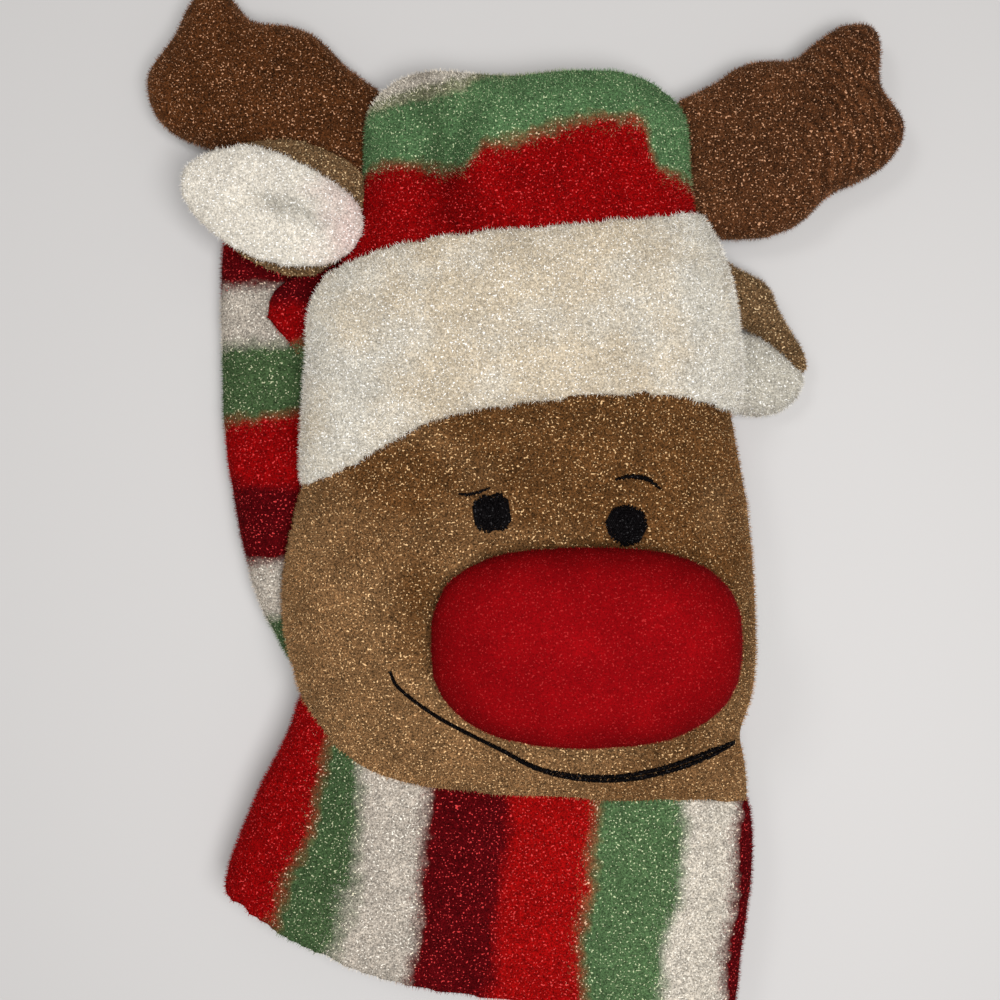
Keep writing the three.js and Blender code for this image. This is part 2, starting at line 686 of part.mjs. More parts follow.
function earLayer(lengthShare, widthShare, shift, low) {
  const along = new THREE.Vector3(Math.cos(earPoint), Math.sin(earPoint), 0);
  const aside = new THREE.Vector3(-along.y, along.x, 0);
  const root = new THREE.Vector3(handWidth * -0.305, wristY + handLength * 0.77, 0);
  const middle = root.clone().addScaledVector(along, earLength * (0.47 + shift));
  const outline = (t) => {
    const [c, s] = [Math.cos(t * 2 * Math.PI), Math.sin(t * 2 * Math.PI)];
    return middle
      .clone()
      .addScaledVector(along, c * 0.5 * earLength * lengthShare)
      .addScaledVector(aside, s * 0.5 * earWidth * widthShare * (1 - 0.12 * c));
  };
  return solidOf(
    padGeometry(24, 3, outline, middle, (share, up) => {
      return low + earThickness / 2 + up * (earThickness / 2) * (1 - share ** 4) ** 0.5;
    }),
  ).subtract(dressedFit);
}

const earLeftBack = largestOf(earLayer(0.96, 0.98, 0, earLie).subtract(antlerLeftFit));
const earLeftFront = largestOf(earLayer(0.97, 0.85, 0.04, earLie + earThickness + gap));

// Other ear: folded lengthwise, so its back shows above its front.
function foldedEar(table, middleAt, grow) {
  const rootY = wristY + handLength * 0.517;
  const edge = sectionAt(rootY).right;
  const place = (row) =>
    new THREE.Vector3(edge + row.out * foldedEarLength, rootY + row.up * foldedEarWidth, 0);
  const middle = place(middleAt);
  const outline = splineOutline(table, place);
  const half = (foldedEarThickness - gap) / 2;
  const grown = (t) => {
    const point = outline(t);
    return point.add(point.clone().sub(middle).setLength(grow));
  };
  return solidOf(
    padGeometry(20, 3, grown, middle, (share, up) => {
      return antlerLift + half + up * (half + grow) * (1 - share ** 3) ** 0.5;
    }),
  );
}

const foldedBackMiddle = { out: 0.3, up: 0.6 };
const earRightBack = largestOf(
  foldedEar(foldedEarBack, foldedBackMiddle, 0).subtract(dressedFit).subtract(antlerRightFit),
);
const foldedBackFit = foldedEar(foldedEarBack, foldedBackMiddle, gap * 2); // its long side slants to its rays
const earRightFront = largestOf(
  foldedEar(foldedEarFront, { out: 0.4, up: 0.24 }, 0).subtract(dressedFit).subtract(foldedBackFit),
);

// Fabrics.
const cloth = (color) => new THREE.MeshStandardMaterial({ color, roughness: 0.95, metalness: 0 });
const stripedFleece = cloth('#8c1c1a');
const whiteFleece = cloth('#ddd4c2');
const brownFleece = cloth('#80562f');
const darkBrownFleece = cloth('#5a3a22');
const tanFleece = cloth('#8a6a48');
const redFelt = cloth('#a30d12');
const blackThread = new THREE.MeshStandardMaterial({ color: '#15120f', roughness: 0.6, metalness: 0 });

const mitten = new THREE.Group();

function addPiece(name, geometry, material) {
  const mesh = new THREE.Mesh(geometry, material);
  mesh.name = name;
  mitten.add(mesh);
}

addPiece('palm', geometryOf(palm), stripedFleece);
addPiece('thumb', geometryOf(thumb), stripedFleece);
addPiece('hat_crown', crown, stripedFleece);
addPiece('hat_band', bandPanel(0), whiteFleece);
addPiece('face', face, brownFleece);
addPiece('wrist_cuff', cuff, stripedFleece);
addPiece('nose', geometryOf(nose), redFelt);
addPiece('eye_left', geometryOf(eyeSolid(-0.06, 0.384)), blackThread);
addPiece('eye_right', geometryOf(eyeSolid(0.21, 0.368)), blackThread);
addPiece('mouth', geometryOf(mouth), blackThread);
addPiece('antler_left', geometryOf(antlerLeft), darkBrownFleece);
addPiece('antler_right', geometryOf(antlerRight), darkBrownFleece);
addPiece('ear_left_back', geometryOf(earLeftBack), tanFleece);
addPiece('ear_left_front', geometryOf(earLeftFront), whiteFleece);
addPiece('ear_right_back', geometryOf(earRightBack), tanFleece);
addPiece('ear_right_front', geometryOf(earRightFront), whiteFleece);

export default mitten;
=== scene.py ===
import math

import bpy
import numpy as np
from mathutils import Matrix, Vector, noise
from mathutils.bvhtree import BVHTree


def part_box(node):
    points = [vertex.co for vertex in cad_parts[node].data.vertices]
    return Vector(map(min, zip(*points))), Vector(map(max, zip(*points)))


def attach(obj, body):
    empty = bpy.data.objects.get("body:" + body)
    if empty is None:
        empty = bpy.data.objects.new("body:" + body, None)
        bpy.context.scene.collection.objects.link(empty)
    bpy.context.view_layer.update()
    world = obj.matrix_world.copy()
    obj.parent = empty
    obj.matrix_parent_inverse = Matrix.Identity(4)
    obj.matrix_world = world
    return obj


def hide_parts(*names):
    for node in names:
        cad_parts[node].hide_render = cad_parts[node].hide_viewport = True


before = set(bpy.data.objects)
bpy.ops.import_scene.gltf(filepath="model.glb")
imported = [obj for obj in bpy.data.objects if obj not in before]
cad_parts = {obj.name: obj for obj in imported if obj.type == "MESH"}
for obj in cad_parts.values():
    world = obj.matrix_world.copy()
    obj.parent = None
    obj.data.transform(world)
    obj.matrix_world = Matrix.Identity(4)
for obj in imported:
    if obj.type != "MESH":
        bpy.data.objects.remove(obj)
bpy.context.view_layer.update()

# Face
# Golden brown short-pile fleece over the back of the hand, from the wrist seam to the hat's band.
# It is eased over light padding, so it rises to the middle and sinks a little at each seam.
# The pile is modelled: closed spikes with a random lean that are thin enough to read as a haze.
MM = 0.001
SKIN_OFF_TABLE = 0.1 * MM
PILE_OFF_TABLE = 0.3 * MM


def places_of(piece):
    places = np.empty(len(piece.data.vertices) * 3)
    piece.data.vertices.foreach_get("co", places)
    return places.reshape(-1, 3)


def normals_of(piece):
    normals = np.empty(len(piece.data.vertices) * 3)
    piece.data.vertices.foreach_get("normal", normals)
    return normals.reshape(-1, 3)


def set_places(piece, places):
    piece.data.vertices.foreach_set("co", places.reshape(-1))
    piece.data.update()


def pick(piece):
    """Leaves one piece selected and active, for the operators that follow."""
    bpy.ops.object.select_all(action="DESELECT")
    bpy.context.view_layer.objects.active = piece
    piece.select_set(True)


def cloth_copy(node, name, mesh_size, rounds=3, swell=0.3 * MM, same_place=1e-6):
    """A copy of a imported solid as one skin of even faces, a little softened."""
    piece = bpy.data.objects.new(name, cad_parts[node].data.copy())
    bpy.context.scene.collection.objects.link(piece)
    pick(piece)
    piece.data.materials.clear()
    bpy.ops.object.mode_set(mode="EDIT")
    bpy.ops.mesh.select_all(action="SELECT")
    bpy.ops.mesh.remove_doubles(threshold=same_place)
    bpy.ops.object.mode_set(mode="OBJECT")
    even = piece.modifiers.new("even faces", "REMESH")
    even.mode = "VOXEL"
    even.voxel_size = mesh_size
    bpy.ops.object.modifier_apply(modifier=even.name)
    bpy.ops.object.mode_set(mode="EDIT")
    bpy.ops.mesh.select_all(action="SELECT")
    bpy.ops.mesh.vertices_smooth(factor=0.5, repeat=rounds)
    bpy.ops.object.mode_set(mode="OBJECT")
    bpy.ops.object.shade_smooth()
    places = places_of(piece) + normals_of(piece) * swell
    places[:, 2] = np.maximum(places[:, 2], SKIN_OFF_TABLE)
    set_places(piece, places)
    return piece


def waves(places, size, seed):
    """Smooth noise from -1 to 1 at each place, with features of one size in metres."""
    offset = Vector((seed * 3.1, seed * 7.7, seed * 1.3))
    return np.array([noise.noise(Vector(p) / size + offset) for p in places])


def dent(places, x, y, wide, long, turn=0.0):
    """A soft hollow's share from 0 to 1, at a place given in millimetres and turned in the plane."""
    away = places[:, :2] / MM - (x, y)
    c, s = math.cos(turn), math.sin(turn)
    across = away[:, 0] * c + away[:, 1] * s
    along = away[:, 1] * c - away[:, 0] * s
    return np.exp(-((across / wide) ** 2) - (along / long) ** 2)


def eased(values, start, over):
    """0 up to a start, then rising evenly to 1."""
    return np.clip((values - start) / over, 0, 1)


def above_seam(places):
    """0 at the side seams and 1 on top, so that what lifts the cloth leaves the seams closed."""
    return eased(places[:, 2], 15 * MM, 8 * MM)


def add_node(tree, kind, settings=None, inputs=None):
    """Adds a node. An input is given a plain value or another node's socket."""
    made = tree.nodes.new(kind)
    for key, value in (settings or {}).items():
        setattr(made, key, value)
    for key, value in (inputs or {}).items():
        if isinstance(value, bpy.types.NodeSocket):
            tree.links.new(value, made.inputs[key])
        else:
            made.inputs[key].default_value = value
    return made


def maths(tree, operation, a, b=0.0, c=0.0):
    return add_node(tree, "ShaderNodeMath", {"operation": operation}, {0: a, 1: b, 2: c}).outputs[0]


def vectors(tree, operation, a, b):
    return add_node(tree, "ShaderNodeVectorMath", {"operation": operation}, {0: a, 1: b}).outputs[0]


def mixed(tree, share, a, b, blend="MIX"):
    settings = {"data_type": "RGBA", "blend_type": blend}
    return add_node(tree, "ShaderNodeMix", settings, {0: share, 6: a, 7: b}).outputs[2]


def cloud(tree, place, scale, detail):
    """Noise from about 0.3 to 0.7; the scale is in features to the metre."""
    inputs = {"Vector": place, "Scale": scale, "Detail": detail}
    return add_node(tree, "ShaderNodeTexNoise", None, inputs).outputs["Fac"]


def spread(tree, value, low, high, to_low, to_high, easing="LINEAR"):
    """A value from one range laid over another, and held at its ends."""
    inputs = {"Value": value, "From Min": low, "From Max": high, "To Min": to_low, "To Max": to_high}
    return add_node(tree, "ShaderNodeMapRange", {"interpolation_type": easing}, inputs).outputs[0]


def in_millimetres(tree, place):
    axes = add_node(tree, "ShaderNodeSeparateXYZ", None, {0: place})
    return [maths(tree, "MULTIPLY", axes.outputs[i], 1000.0) for i in range(3)]


# The nap's own pattern, in features to the metre: brushed patches, tufts, fibre tips, the points
# that get painted glints, and the turns of the way that the fibres lie.
PATCHES = 95.0
TUFTS = 620.0
TIPS = 2100.0
SPARKS = 2000.0
FLOW = 160.0
# Painted glint colours: a red one for red dye, and the palest that a painted glint may be.
RED_SPARK = (0.66, 0.05, 0.05, 1.0)
PALEST = (0.95, 0.95, 0.95, 1.0)


def fleece(name, colour_of, glint, contrast=1.0, bump=0.5, glints=0.06, sheen=None, catch=0.9):
    """Fleece: each fibre has its own tone, and the skin between the fibres is darker, as painted shade.

    Fibre roots get painted shade too. Painted glints light some fibres and specks, and on red dye they stay
    red.
    """
    material = bpy.data.materials.new(name)
    material.use_nodes = True
    tree = material.node_tree
    surface = tree.nodes["Principled BSDF"]
    place = add_node(tree, "ShaderNodeTexCoord").outputs["Object"]
    colour = colour_of(tree, place)
    patch, tuft, speck = 0.1 * contrast, 0.13 * contrast, 0.5 * contrast
    patches = spread(tree, cloud(tree, place, PATCHES, 3.0), 0.35, 0.65, 1 - patch, 1 + patch)
    tufts = spread(tree, cloud(tree, place, TUFTS, 2.0), 0.35, 0.65, 1 - tuft, 1 + tuft)
    specks = spread(tree, cloud(tree, place, TIPS, 1.0), 0.3, 0.7, 1 - speck, 1 + speck)
    fibre = add_node(tree, "ShaderNodeAttribute", {"attribute_name": "tone"}).outputs["Fac"]
    along = add_node(tree, "ShaderNodeAttribute", {"attribute_name": "along"}).outputs["Fac"]
    # Painted shade and light: each fibre is darker at its root and lighter at its tip.
    lift = spread(tree, along, 0.0, 1.0, 1.0, 1.15)
    # Each fibre's own tone. The skin between the fibres has no tone, so it gets the darkest value as
    # painted shade.
    own = spread(tree, fibre, 0.0, 1.0, 1 - 0.35 * contrast, 1 + 0.45 * contrast)
    tone = maths(tree, "MULTIPLY", patches, tufts)
    tone = maths(tree, "MULTIPLY", tone, maths(tree, "MULTIPLY", lift, own))
    tone = maths(tree, "MULTIPLY", tone, specks)
    tone_colour = add_node(tree, "ShaderNodeCombineXYZ", None, {0: tone, 1: tone, 2: tone}).outputs[0]
    cloth = mixed(tree, 1.0, colour, tone_colour, "MULTIPLY")
    # Painted glints: the brightest fibres and sparse specks take a pale colour, which stays red on red dye.
    bright_fibre = spread(tree, fibre, 1.0 - glints, 1.0 - glints * 0.6, 0.0, 0.75)
    bright_speck = spread(tree, cloud(tree, place, SPARKS, 0.0), 0.70, 0.75, 0.0, catch)
    painted_glint_share = maths(tree, "MAXIMUM", bright_fibre, bright_speck)
    green = add_node(tree, "ShaderNodeSeparateColor", None, {0: colour}).outputs[1]
    pale_dye = spread(tree, green, 0.002, 0.03, 0.0, 1.0)
    strong = mixed(tree, 1.0, colour, (2.8, 2.8, 2.8, 1.0), "MULTIPLY")
    strong = mixed(tree, 1.0, strong, PALEST, "DARKEN")
    painted_glint_colour = mixed(tree, pale_dye, RED_SPARK, mixed(tree, 0.5, strong, (*glint, 1.0)))
    finish = mixed(tree, painted_glint_share, cloth, painted_glint_colour)
    tree.links.new(finish, surface.inputs["Base Color"])
    height = maths(tree, "ADD", cloud(tree, place, TUFTS, 3.0), maths(tree, "MULTIPLY", specks, 0.3))
    inputs = {"Strength": bump, "Distance": 0.6 * MM, "Height": height}
    relief = add_node(tree, "ShaderNodeBump", None, inputs)
    tree.links.new(relief.outputs[0], surface.inputs["Normal"])
    surface.inputs["Roughness"].default_value = 0.9
    surface.inputs["Specular IOR Level"].default_value = 0.03
    if sheen:
        surface.inputs["Sheen Weight"].default_value = 0.12
        surface.inputs["Sheen Roughness"].default_value = 0.4
        surface.inputs["Sheen Tint"].default_value = (*sheen, 1.0)
    return material


def plain(*dye):
    """One dye all over; the cloth's tones come from its pile."""
    return lambda tree, place: (*dye, 1.0)


corners = []
triangles = []
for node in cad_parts.values():
    first = len(corners)
    corners += [corner.co.copy() for corner in node.data.vertices]
    triangles += [[first + i for i in face.vertices] for face in node.data.polygons]
solids = BVHTree.FromPolygons(corners, triangles)


def shows(piece, reach, near_table=1.2 * MM, start=0.2 * MM):
    """1 where a cloth is seen, 0 where another skin lies close over it or the table is under it."""
    seen = np.ones(len(piece.data.vertices))
    for i, (spot, normal) in enumerate(zip(places_of(piece), normals_of(piece))):
        spot, normal = Vector(spot), Vector(normal)
        if spot.z < near_table and normal.z < -0.5:
            seen[i] = 0.0
            continue
        hit, facing, _, _ = solids.ray_cast(spot + normal * start, normal, reach)
        if hit is not None and facing.dot(normal) < 0:
            seen[i] = 0.0
    return seen


def drawn(tree, low, high, seed):
    """A random number for each fibre."""
    inputs = {2: low, 3: high, "Seed": seed}
    return add_node(tree, "FunctionNodeRandomValue", {"data_type": "FLOAT"}, inputs).outputs[1]


def kept(tree, geometry, name, value, kind="FLOAT", domain="POINT"):
    """Keeps a value under a name on each point, instance or corner."""
    settings = {"data_type": kind, "domain": domain}
    inputs = {"Geometry": geometry, "Name": name, "Value": value}
    return add_node(tree, "GeometryNodeStoreNamedAttribute", settings, inputs).outputs[0]


def add_pile(piece, name, to_mm2, length, seed, reach=1.6 * MM, thickness=0.075 * MM, lean=0.65):
    """Fibres over a piece as an object of their own, few where the cloth faces down.

    Each is a thin spike. The nap leans it one way and chance another, and both ends keep off the table.
    """
    pile = bpy.data.objects.new(name, piece.data.copy())
    bpy.context.scene.collection.objects.link(pile)
    share = pile.data.attributes.new("share", "FLOAT", "POINT")
    values = np.where(normals_of(piece)[:, 2] > -0.35, 1.0, 0.1) * shows(piece, reach)
    if "inside" in piece.data.attributes:
        inside = np.empty(len(piece.data.vertices))
        piece.data.attributes["inside"].data.foreach_get("value", inside)
        values *= 1.0 - inside
    share.data.foreach_set("value", values)
    tree = bpy.data.node_groups.new(name, "GeometryNodeTree")
    tree.interface.new_socket("Geometry", in_out="INPUT", socket_type="NodeSocketGeometry")
    tree.interface.new_socket("Geometry", in_out="OUTPUT", socket_type="NodeSocketGeometry")
    cloth = add_node(tree, "NodeGroupInput").outputs[0]
    position = add_node(tree, "GeometryNodeInputPosition").outputs[0]
    shown = add_node(tree, "GeometryNodeInputNamedAttribute", {"data_type": "FLOAT"}, {"Name": "share"})
    to_m2 = to_mm2 * 1e6
    density = maths(tree, "MULTIPLY", shown.outputs[0], to_m2)
    inputs = {"Mesh": cloth, "Density": density, "Seed": seed}
    roots = add_node(tree, "GeometryNodeDistributePointsOnFaces", None, inputs)
    nap = add_node(tree, "ShaderNodeTexNoise", None, {"Vector": position, "Scale": FLOW})
    nap_lean = vectors(tree, "SUBTRACT", nap.outputs["Color"], (0.5, 0.5, 0.5))
    nap_lean = vectors(tree, "MULTIPLY", nap_lean, (1.6, 1.6, 0.6))
    astray = add_node(
        tree,
        "FunctionNodeRandomValue",
        {"data_type": "FLOAT_VECTOR"},
        {0: (-lean, -lean, -lean), 1: (lean, lean, lean), "Seed": seed + 1},
    ).outputs[0]
    heading = vectors(tree, "ADD", vectors(tree, "ADD", roots.outputs["Normal"], astray), nap_lean)
    turned = add_node(tree, "FunctionNodeAlignRotationToVector", {"axis": "Z"}, {"Vector": heading})
    size = drawn(tree, 0.5, 1.15, seed + 2)
    inputs = {"Vertices": 3, "Side Segments": 1, "Depth": length}
    inputs.update({"Radius Top": 0.0, "Radius Bottom": thickness})
    spike = add_node(tree, "GeometryNodeMeshCone", None, inputs).outputs[0]
    height = add_node(tree, "ShaderNodeSeparateXYZ", None, {0: position}).outputs[2]
    spike = kept(tree, spike, "along", maths(tree, "DIVIDE", height, length))
    fibres = add_node(
        tree,
        "GeometryNodeInstanceOnPoints",
        None,
        {"Points": roots.outputs[0], "Instance": spike, "Rotation": turned.outputs[0], "Scale": size},
    ).outputs[0]
    fibres = kept(tree, fibres, "tone", drawn(tree, 0.0, 1.0, seed + 3), domain="INSTANCE")
    fibres = add_node(tree, "GeometryNodeRealizeInstances", None, {"Geometry": fibres}).outputs[0]
    # A flat map over the fibres, as seen from above, for what is baked.
    places = places_of(piece)
    low, high = Vector(places.min(0)), Vector(places.max(0))
    margin = 4 * MM
    span = max(high.x - low.x, high.y - low.y) + 2 * margin
    flat = vectors(tree, "SUBTRACT", position, (low.x - margin, low.y - margin, 0.0))
    flat = vectors(tree, "MULTIPLY", flat, (1 / span, 1 / span, 0.0))
    fibres = kept(tree, fibres, "OFBake", flat, kind="FLOAT2", domain="CORNER")
    add_node(tree, "NodeGroupOutput", None, {0: fibres})
    grown = pile.modifiers.new("pile", "NODES")
    grown.node_group = tree
    pick(pile)
    bpy.ops.object.modifier_apply(modifier=grown.name)
    tips = places_of(pile)
    floor = PILE_OFF_TABLE
    pressed = floor * np.exp(np.minimum(0, tips[:, 2] / floor - 1))
    tips[:, 2] = np.where(tips[:, 2] < floor, pressed, tips[:, 2])
    set_places(pile, tips)
    pile.data.materials.clear()
    pile.data.materials.append(piece.data.materials[0])
    return pile


def mark_inside(piece, test):
    """Marks the side of a cloth that isn't seen, which gets no pile."""
    inside = piece.data.attributes.new("inside", "FLOAT", "POINT")
    inside.data.foreach_set("value", test(places_of(piece), normals_of(piece)).astype(float))


def underside(places, normals):
    """The side of the upper cloth that looks down into the hand."""
    return (normals[:, 2] < -0.2) & (places[:, 2] > 16 * MM)


def finished(piece, slot, *nodes):
    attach(piece, "root")
    if nodes:
        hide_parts(*nodes)


PAINTED_SHADE_BROWN = (0.165, 0.071, 0.0220, 1.0)
PAINTED_LIGHT_BROWN = (0.296, 0.156, 0.065, 1.0)
# Patches of painted light and painted shade on the face, in millimetres: middle, half widths, and how pale
# (above 0) or dark it is.
painted_light_spots = (
    (-36.0, 22.0, 17.0, 10.0, -25.0),
    (-27.0, -13.0, 8.0, 17.0, -31.0),
    (22.0, 29.0, 30.0, 9.0, -12.0),
    (-52.0, -6.0, 8.0, 27.0, 15.0),
    (48.5, 16.0, 9.0, 15.0, 36.0),
    (-2.0, 8.5, 17.0, 4.5, 15.0),
    (-24.0, 33.0, 15.0, 5.0, 15.0),
)


def brown_painted_light(tree, place):
    """Painted light over cheek, chin and far side, and painted shade on the brow and in a few patches."""
    x, y, _ = in_millimetres(tree, place)
    # Painted light grows towards the lower left and beyond the far side. The patches add painted light and
    # shade.
    down = maths(tree, "MULTIPLY_ADD", y, -0.6, maths(tree, "MULTIPLY_ADD", x, -0.5, 5.0))
    painted_light_far_side = maths(tree, "MAXIMUM", maths(tree, "SUBTRACT", x, 43.0), 0.0)
    down = maths(tree, "MULTIPLY_ADD", painted_light_far_side, 1.7, down)
    for middle_x, middle_y, half_x, half_y, amount in painted_light_spots:
        across = maths(tree, "DIVIDE", maths(tree, "SUBTRACT", x, middle_x), half_x)
        along = maths(tree, "DIVIDE", maths(tree, "SUBTRACT", y, middle_y), half_y)
        squared = maths(tree, "MULTIPLY_ADD", across, across, maths(tree, "MULTIPLY", along, along))
        away = maths(tree, "SQRT", squared)
        down = maths(tree, "ADD", down, spread(tree, away, 0.2, 1.3, amount, 0.0))
    stroked = spread(tree, cloud(tree, place, 52.0, 4.0), 0.3, 0.7, -15.0, 15.0)
    pale = spread(tree, maths(tree, "ADD", down, stroked), -8.0, 36.0, 0.0, 1.0)
    return mixed(tree, pale, PAINTED_SHADE_BROWN, PAINTED_LIGHT_BROWN)


def tucked_side(places):
    """The side seam away from the thumb is drawn in beside the chin."""
    y = places[:, 1] / MM
    in_by = 1.7 * np.exp(-(((y + 45) / 6) ** 2)) + 1.9 * np.exp(-(((y + 48) / 17) ** 2))
    places[:, 0] -= in_by * MM * eased(places[:, 0], 38 * MM, 14 * MM)


brown = fleece(
    "golden brown fleece", brown_painted_light, (1.0, 0.76, 0.42), contrast=1.4, glints=0.08, sheen=(0.9, 0.6, 0.3)
)
face = cloth_copy("face", "face_fleece", mesh_size=1.6 * MM, rounds=6)
spots = places_of(face)
rise = 0.55 * MM * waves(spots, 19 * MM, 1) + 0.22 * MM * waves(spots, 6 * MM, 2)
rise -= 2.0 * MM * dent(spots, -40, 9, 14, 3.2, 0.2)
rise += 0.8 * MM * dent(spots, -38, 17, 16, 5, 0.2)
rise -= 0.8 * MM * dent(spots, 36, -38, 9, 3, -0.5)
spots[:, 2] += rise * above_seam(spots)
spots[:, 1] -= 0.9 * MM * eased(-spots[:, 1], 38 * MM, 12 * MM)
tucked_side(spots)
set_places(face, spots)
mark_inside(face, underside)
face.data.materials.append(brown)
finished(face, "brown_fleece", "face")
face_pile = add_pile(face, "face_pile", to_mm2=2.95, length=1.15 * MM, seed=11)
finished(face_pile, "brown_fleece")

# Hat crown
# The upper side at the fingertips, in striped fleece: white at the tip, green and red.
# The stripes are printed in the cloth, so their edges are hazy and waver; gathers pucker the tip.
# The lighter and darker copies of red, green and white are painted light and painted shade, set where light
# falls more or less.
RED = (0.275, 0.0015, 0.002)
PAINTED_LIGHT_RED = (0.35, 0.003, 0.003)
MAROON = (0.095, 0.0015, 0.003)
GREEN = (0.090, 0.166, 0.068)
PAINTED_LIGHT_GREEN = (0.100, 0.200, 0.083)
PAINTED_SHADE_GREEN = (0.062, 0.112, 0.044)
PALE_GREEN = (0.24, 0.25, 0.15)
WHITE = (0.52, 0.46, 0.39)
PAINTED_LIGHT_WHITE = (0.66, 0.60, 0.51)


def striped(place_of, stripes, haze=2.0, waver=5.0):
    """Stripes by a running place in millimetres: a first colour, then (edge, colour after it).

    The print bleeds: each fibre takes its dye from a little to one side of its own place.
    """
    first, changes = stripes
    low = changes[0][0] - 10.0
    high = changes[-1][0] + 10.0

    def colour_of(tree, place):
        run = place_of(tree, place)
        slow = spread(tree, cloud(tree, place, 38.0, 2.0), 0.3, 0.7, -waver * 0.5, waver * 0.5)
        quick = spread(tree, cloud(tree, place, 300.0, 2.0), 0.3, 0.7, -0.9, 0.9)
        own = add_node(tree, "ShaderNodeAttribute", {"attribute_name": "tone"}).outputs["Fac"]
        own = spread(tree, own, 0.0, 1.0, -1.6, 2.0)
        run = maths(tree, "ADD", maths(tree, "ADD", run, own), maths(tree, "ADD", slow, quick))
        ramp = add_node(tree, "ShaderNodeValToRGB", None, {0: spread(tree, run, low, high, 0.0, 1.0)})
        stops = [(low, first)]
        before = first
        for edge, after in changes:
            stops += [(edge - haze, before), (edge + haze, after)]
            before = after
        bar = ramp.color_ramp
        bar.elements[0].position = 0.0
        bar.elements[0].color = (*first, 1.0)
        bar.elements[1].position = 1.0
        bar.elements[1].color = (*before, 1.0)
        for at, colour in stops[1:]:
            stop = bar.elements.new((at - low) / (high - low))
            stop.color = (*colour, 1.0)
        return ramp.outputs[0]

    return colour_of


def crown_run(tree, place):
    """The crown's stripes climb to the right and step down near the other antler."""
    x, y, _ = in_millimetres(tree, place)
    climb = spread(tree, x, -16.0, -8.5, 0.0, 4.5, "SMOOTHSTEP")
    climb = maths(tree, "ADD", climb, spread(tree, x, -10.0, 24.0, 0.0, 6.0, "SMOOTHSTEP"))
    drop = spread(tree, x, 29.5, 37.5, 0.0, 11.5, "SMOOTHSTEP")
    drop = maths(tree, "ADD", drop, spread(tree, x, 37.0, 44.0, 0.0, 1.5))
    corner = spread(tree, x, -38.0, -8.0, 3.0, -3.0, "SMOOTHSTEP")
    tip = spread(tree, y, 108.0, 120.0, 0.0, 1.0)
    climb = maths(tree, "SUBTRACT", climb, maths(tree, "MULTIPLY", corner, tip))
    drop = maths(tree, "MULTIPLY", drop, maths(tree, "SUBTRACT", 1.0, tip))
    return maths(tree, "ADD", maths(tree, "SUBTRACT", y, climb), drop)


# At the tip, the lighter green and white are painted light.
crown_stripes = (RED, [(102.0, PAINTED_LIGHT_GREEN), (121.2, PALE_GREEN), (123.4, PAINTED_LIGHT_WHITE)])


def crown_with_painted_fold_shade(tree, place):
    """The stripes, with painted shade down in the fold beside the thumb-side antler."""
    x, y, _ = in_millimetres(tree, place)
    off = maths(tree, "MULTIPLY_ADD", maths(tree, "SUBTRACT", y, 105.0), 0.25, maths(tree, "ADD", x, 20.5))
    wander = spread(tree, cloud(tree, place, 90.0, 2.0), 0.3, 0.7, -2.0, 2.0)
    # Painted shade, deepest along the fold's line and wavering a little.
    depth = spread(tree, maths(tree, "ABSOLUTE", maths(tree, "ADD", off, wander)), 1.0, 8.0, 0.45, 0.0)
    stripes = striped(crown_run, crown_stripes, haze=2.0, waver=1.6)(tree, place)
    return mixed(tree, 1.0, stripes, mixed(tree, depth, (1, 1, 1, 1), (0.25, 0.22, 0.2, 1)), "MULTIPLY")


def striped_fleece(name, colour_of):
    return fleece(name, colour_of, glint=(0.85, 0.75, 0.55), glints=0.04)


crown_fleece = striped_fleece("crown striped fleece", crown_with_painted_fold_shade)


def gather_tip(places, extra=0.0):
    """The tip is drawn in at its middle and at both corners."""
    across = places[:, 0] / MM
    in_by = extra + 1.5 * np.exp(-(((across + 3) / 11) ** 2))
    in_by += 4.2 * eased(across, 24, 14) ** 1.5 + 2.6 * eased(-across, 23, 12) ** 1.5
    places[:, 1] -= in_by * MM * eased(places[:, 1], 108 * MM, 18 * MM)


crown = cloth_copy("hat_crown", "hat_crown_fleece", mesh_size=1.6 * MM)
spots = places_of(crown)
rise = 0.7 * MM * waves(spots, 16 * MM, 3) + 0.25 * MM * waves(spots, 6 * MM, 4)
rise -= 6.2 * MM * dent(spots, -19.5, 105, 4.2, 13, -0.25)
rise += 1.8 * MM * dent(spots, -31, 106, 7, 12)
rise += 2.4 * MM * dent(spots, -8, 110, 7, 12, -0.25)
rise -= 1.5 * MM * dent(spots, -22, 124, 4, 6, 0.4)
spots[:, 2] += rise * above_seam(spots)
gather_tip(spots)
set_places(crown, spots)
mark_inside(crown, underside)
crown.data.materials.append(crown_fleece)
finished(crown, "striped_fleece", "hat_crown")
crown_pile = add_pile(crown, "hat_crown_pile", to_mm2=3.4, length=1.15 * MM, seed=21)
finished(crown_pile, "striped_fleece")

# Hat band
# A strip of thick off-white fleece, folded to a plump roll at both edges and sewn over the join
# of hat and face. Its pile is longer and denser than the rest.
CREAM = (0.585, 0.50, 0.375, 1.0)
FRESH_WHITE = (0.61, 0.57, 0.49, 1.0)


def worn_white(tree, place):
    """Cream where the fleece is rubbed, whiter towards both ends."""
    x, _, _ = in_millimetres(tree, place)
    far_end = spread(tree, x, 16.0, 50.0, -0.3, 0.7)
    near_end = spread(tree, x, -22.0, -38.0, -0.3, 0.45)
    fresh = spread(tree, cloud(tree, place, 70.0, 3.0), 0.35, 0.65, -0.15, 0.75)
    fresh = maths(tree, "ADD", fresh, maths(tree, "MAXIMUM", far_end, near_end))
    fresh = spread(tree, fresh, 0.0, 1.0, 0.0, 1.0)
    return mixed(tree, fresh, CREAM, FRESH_WHITE)


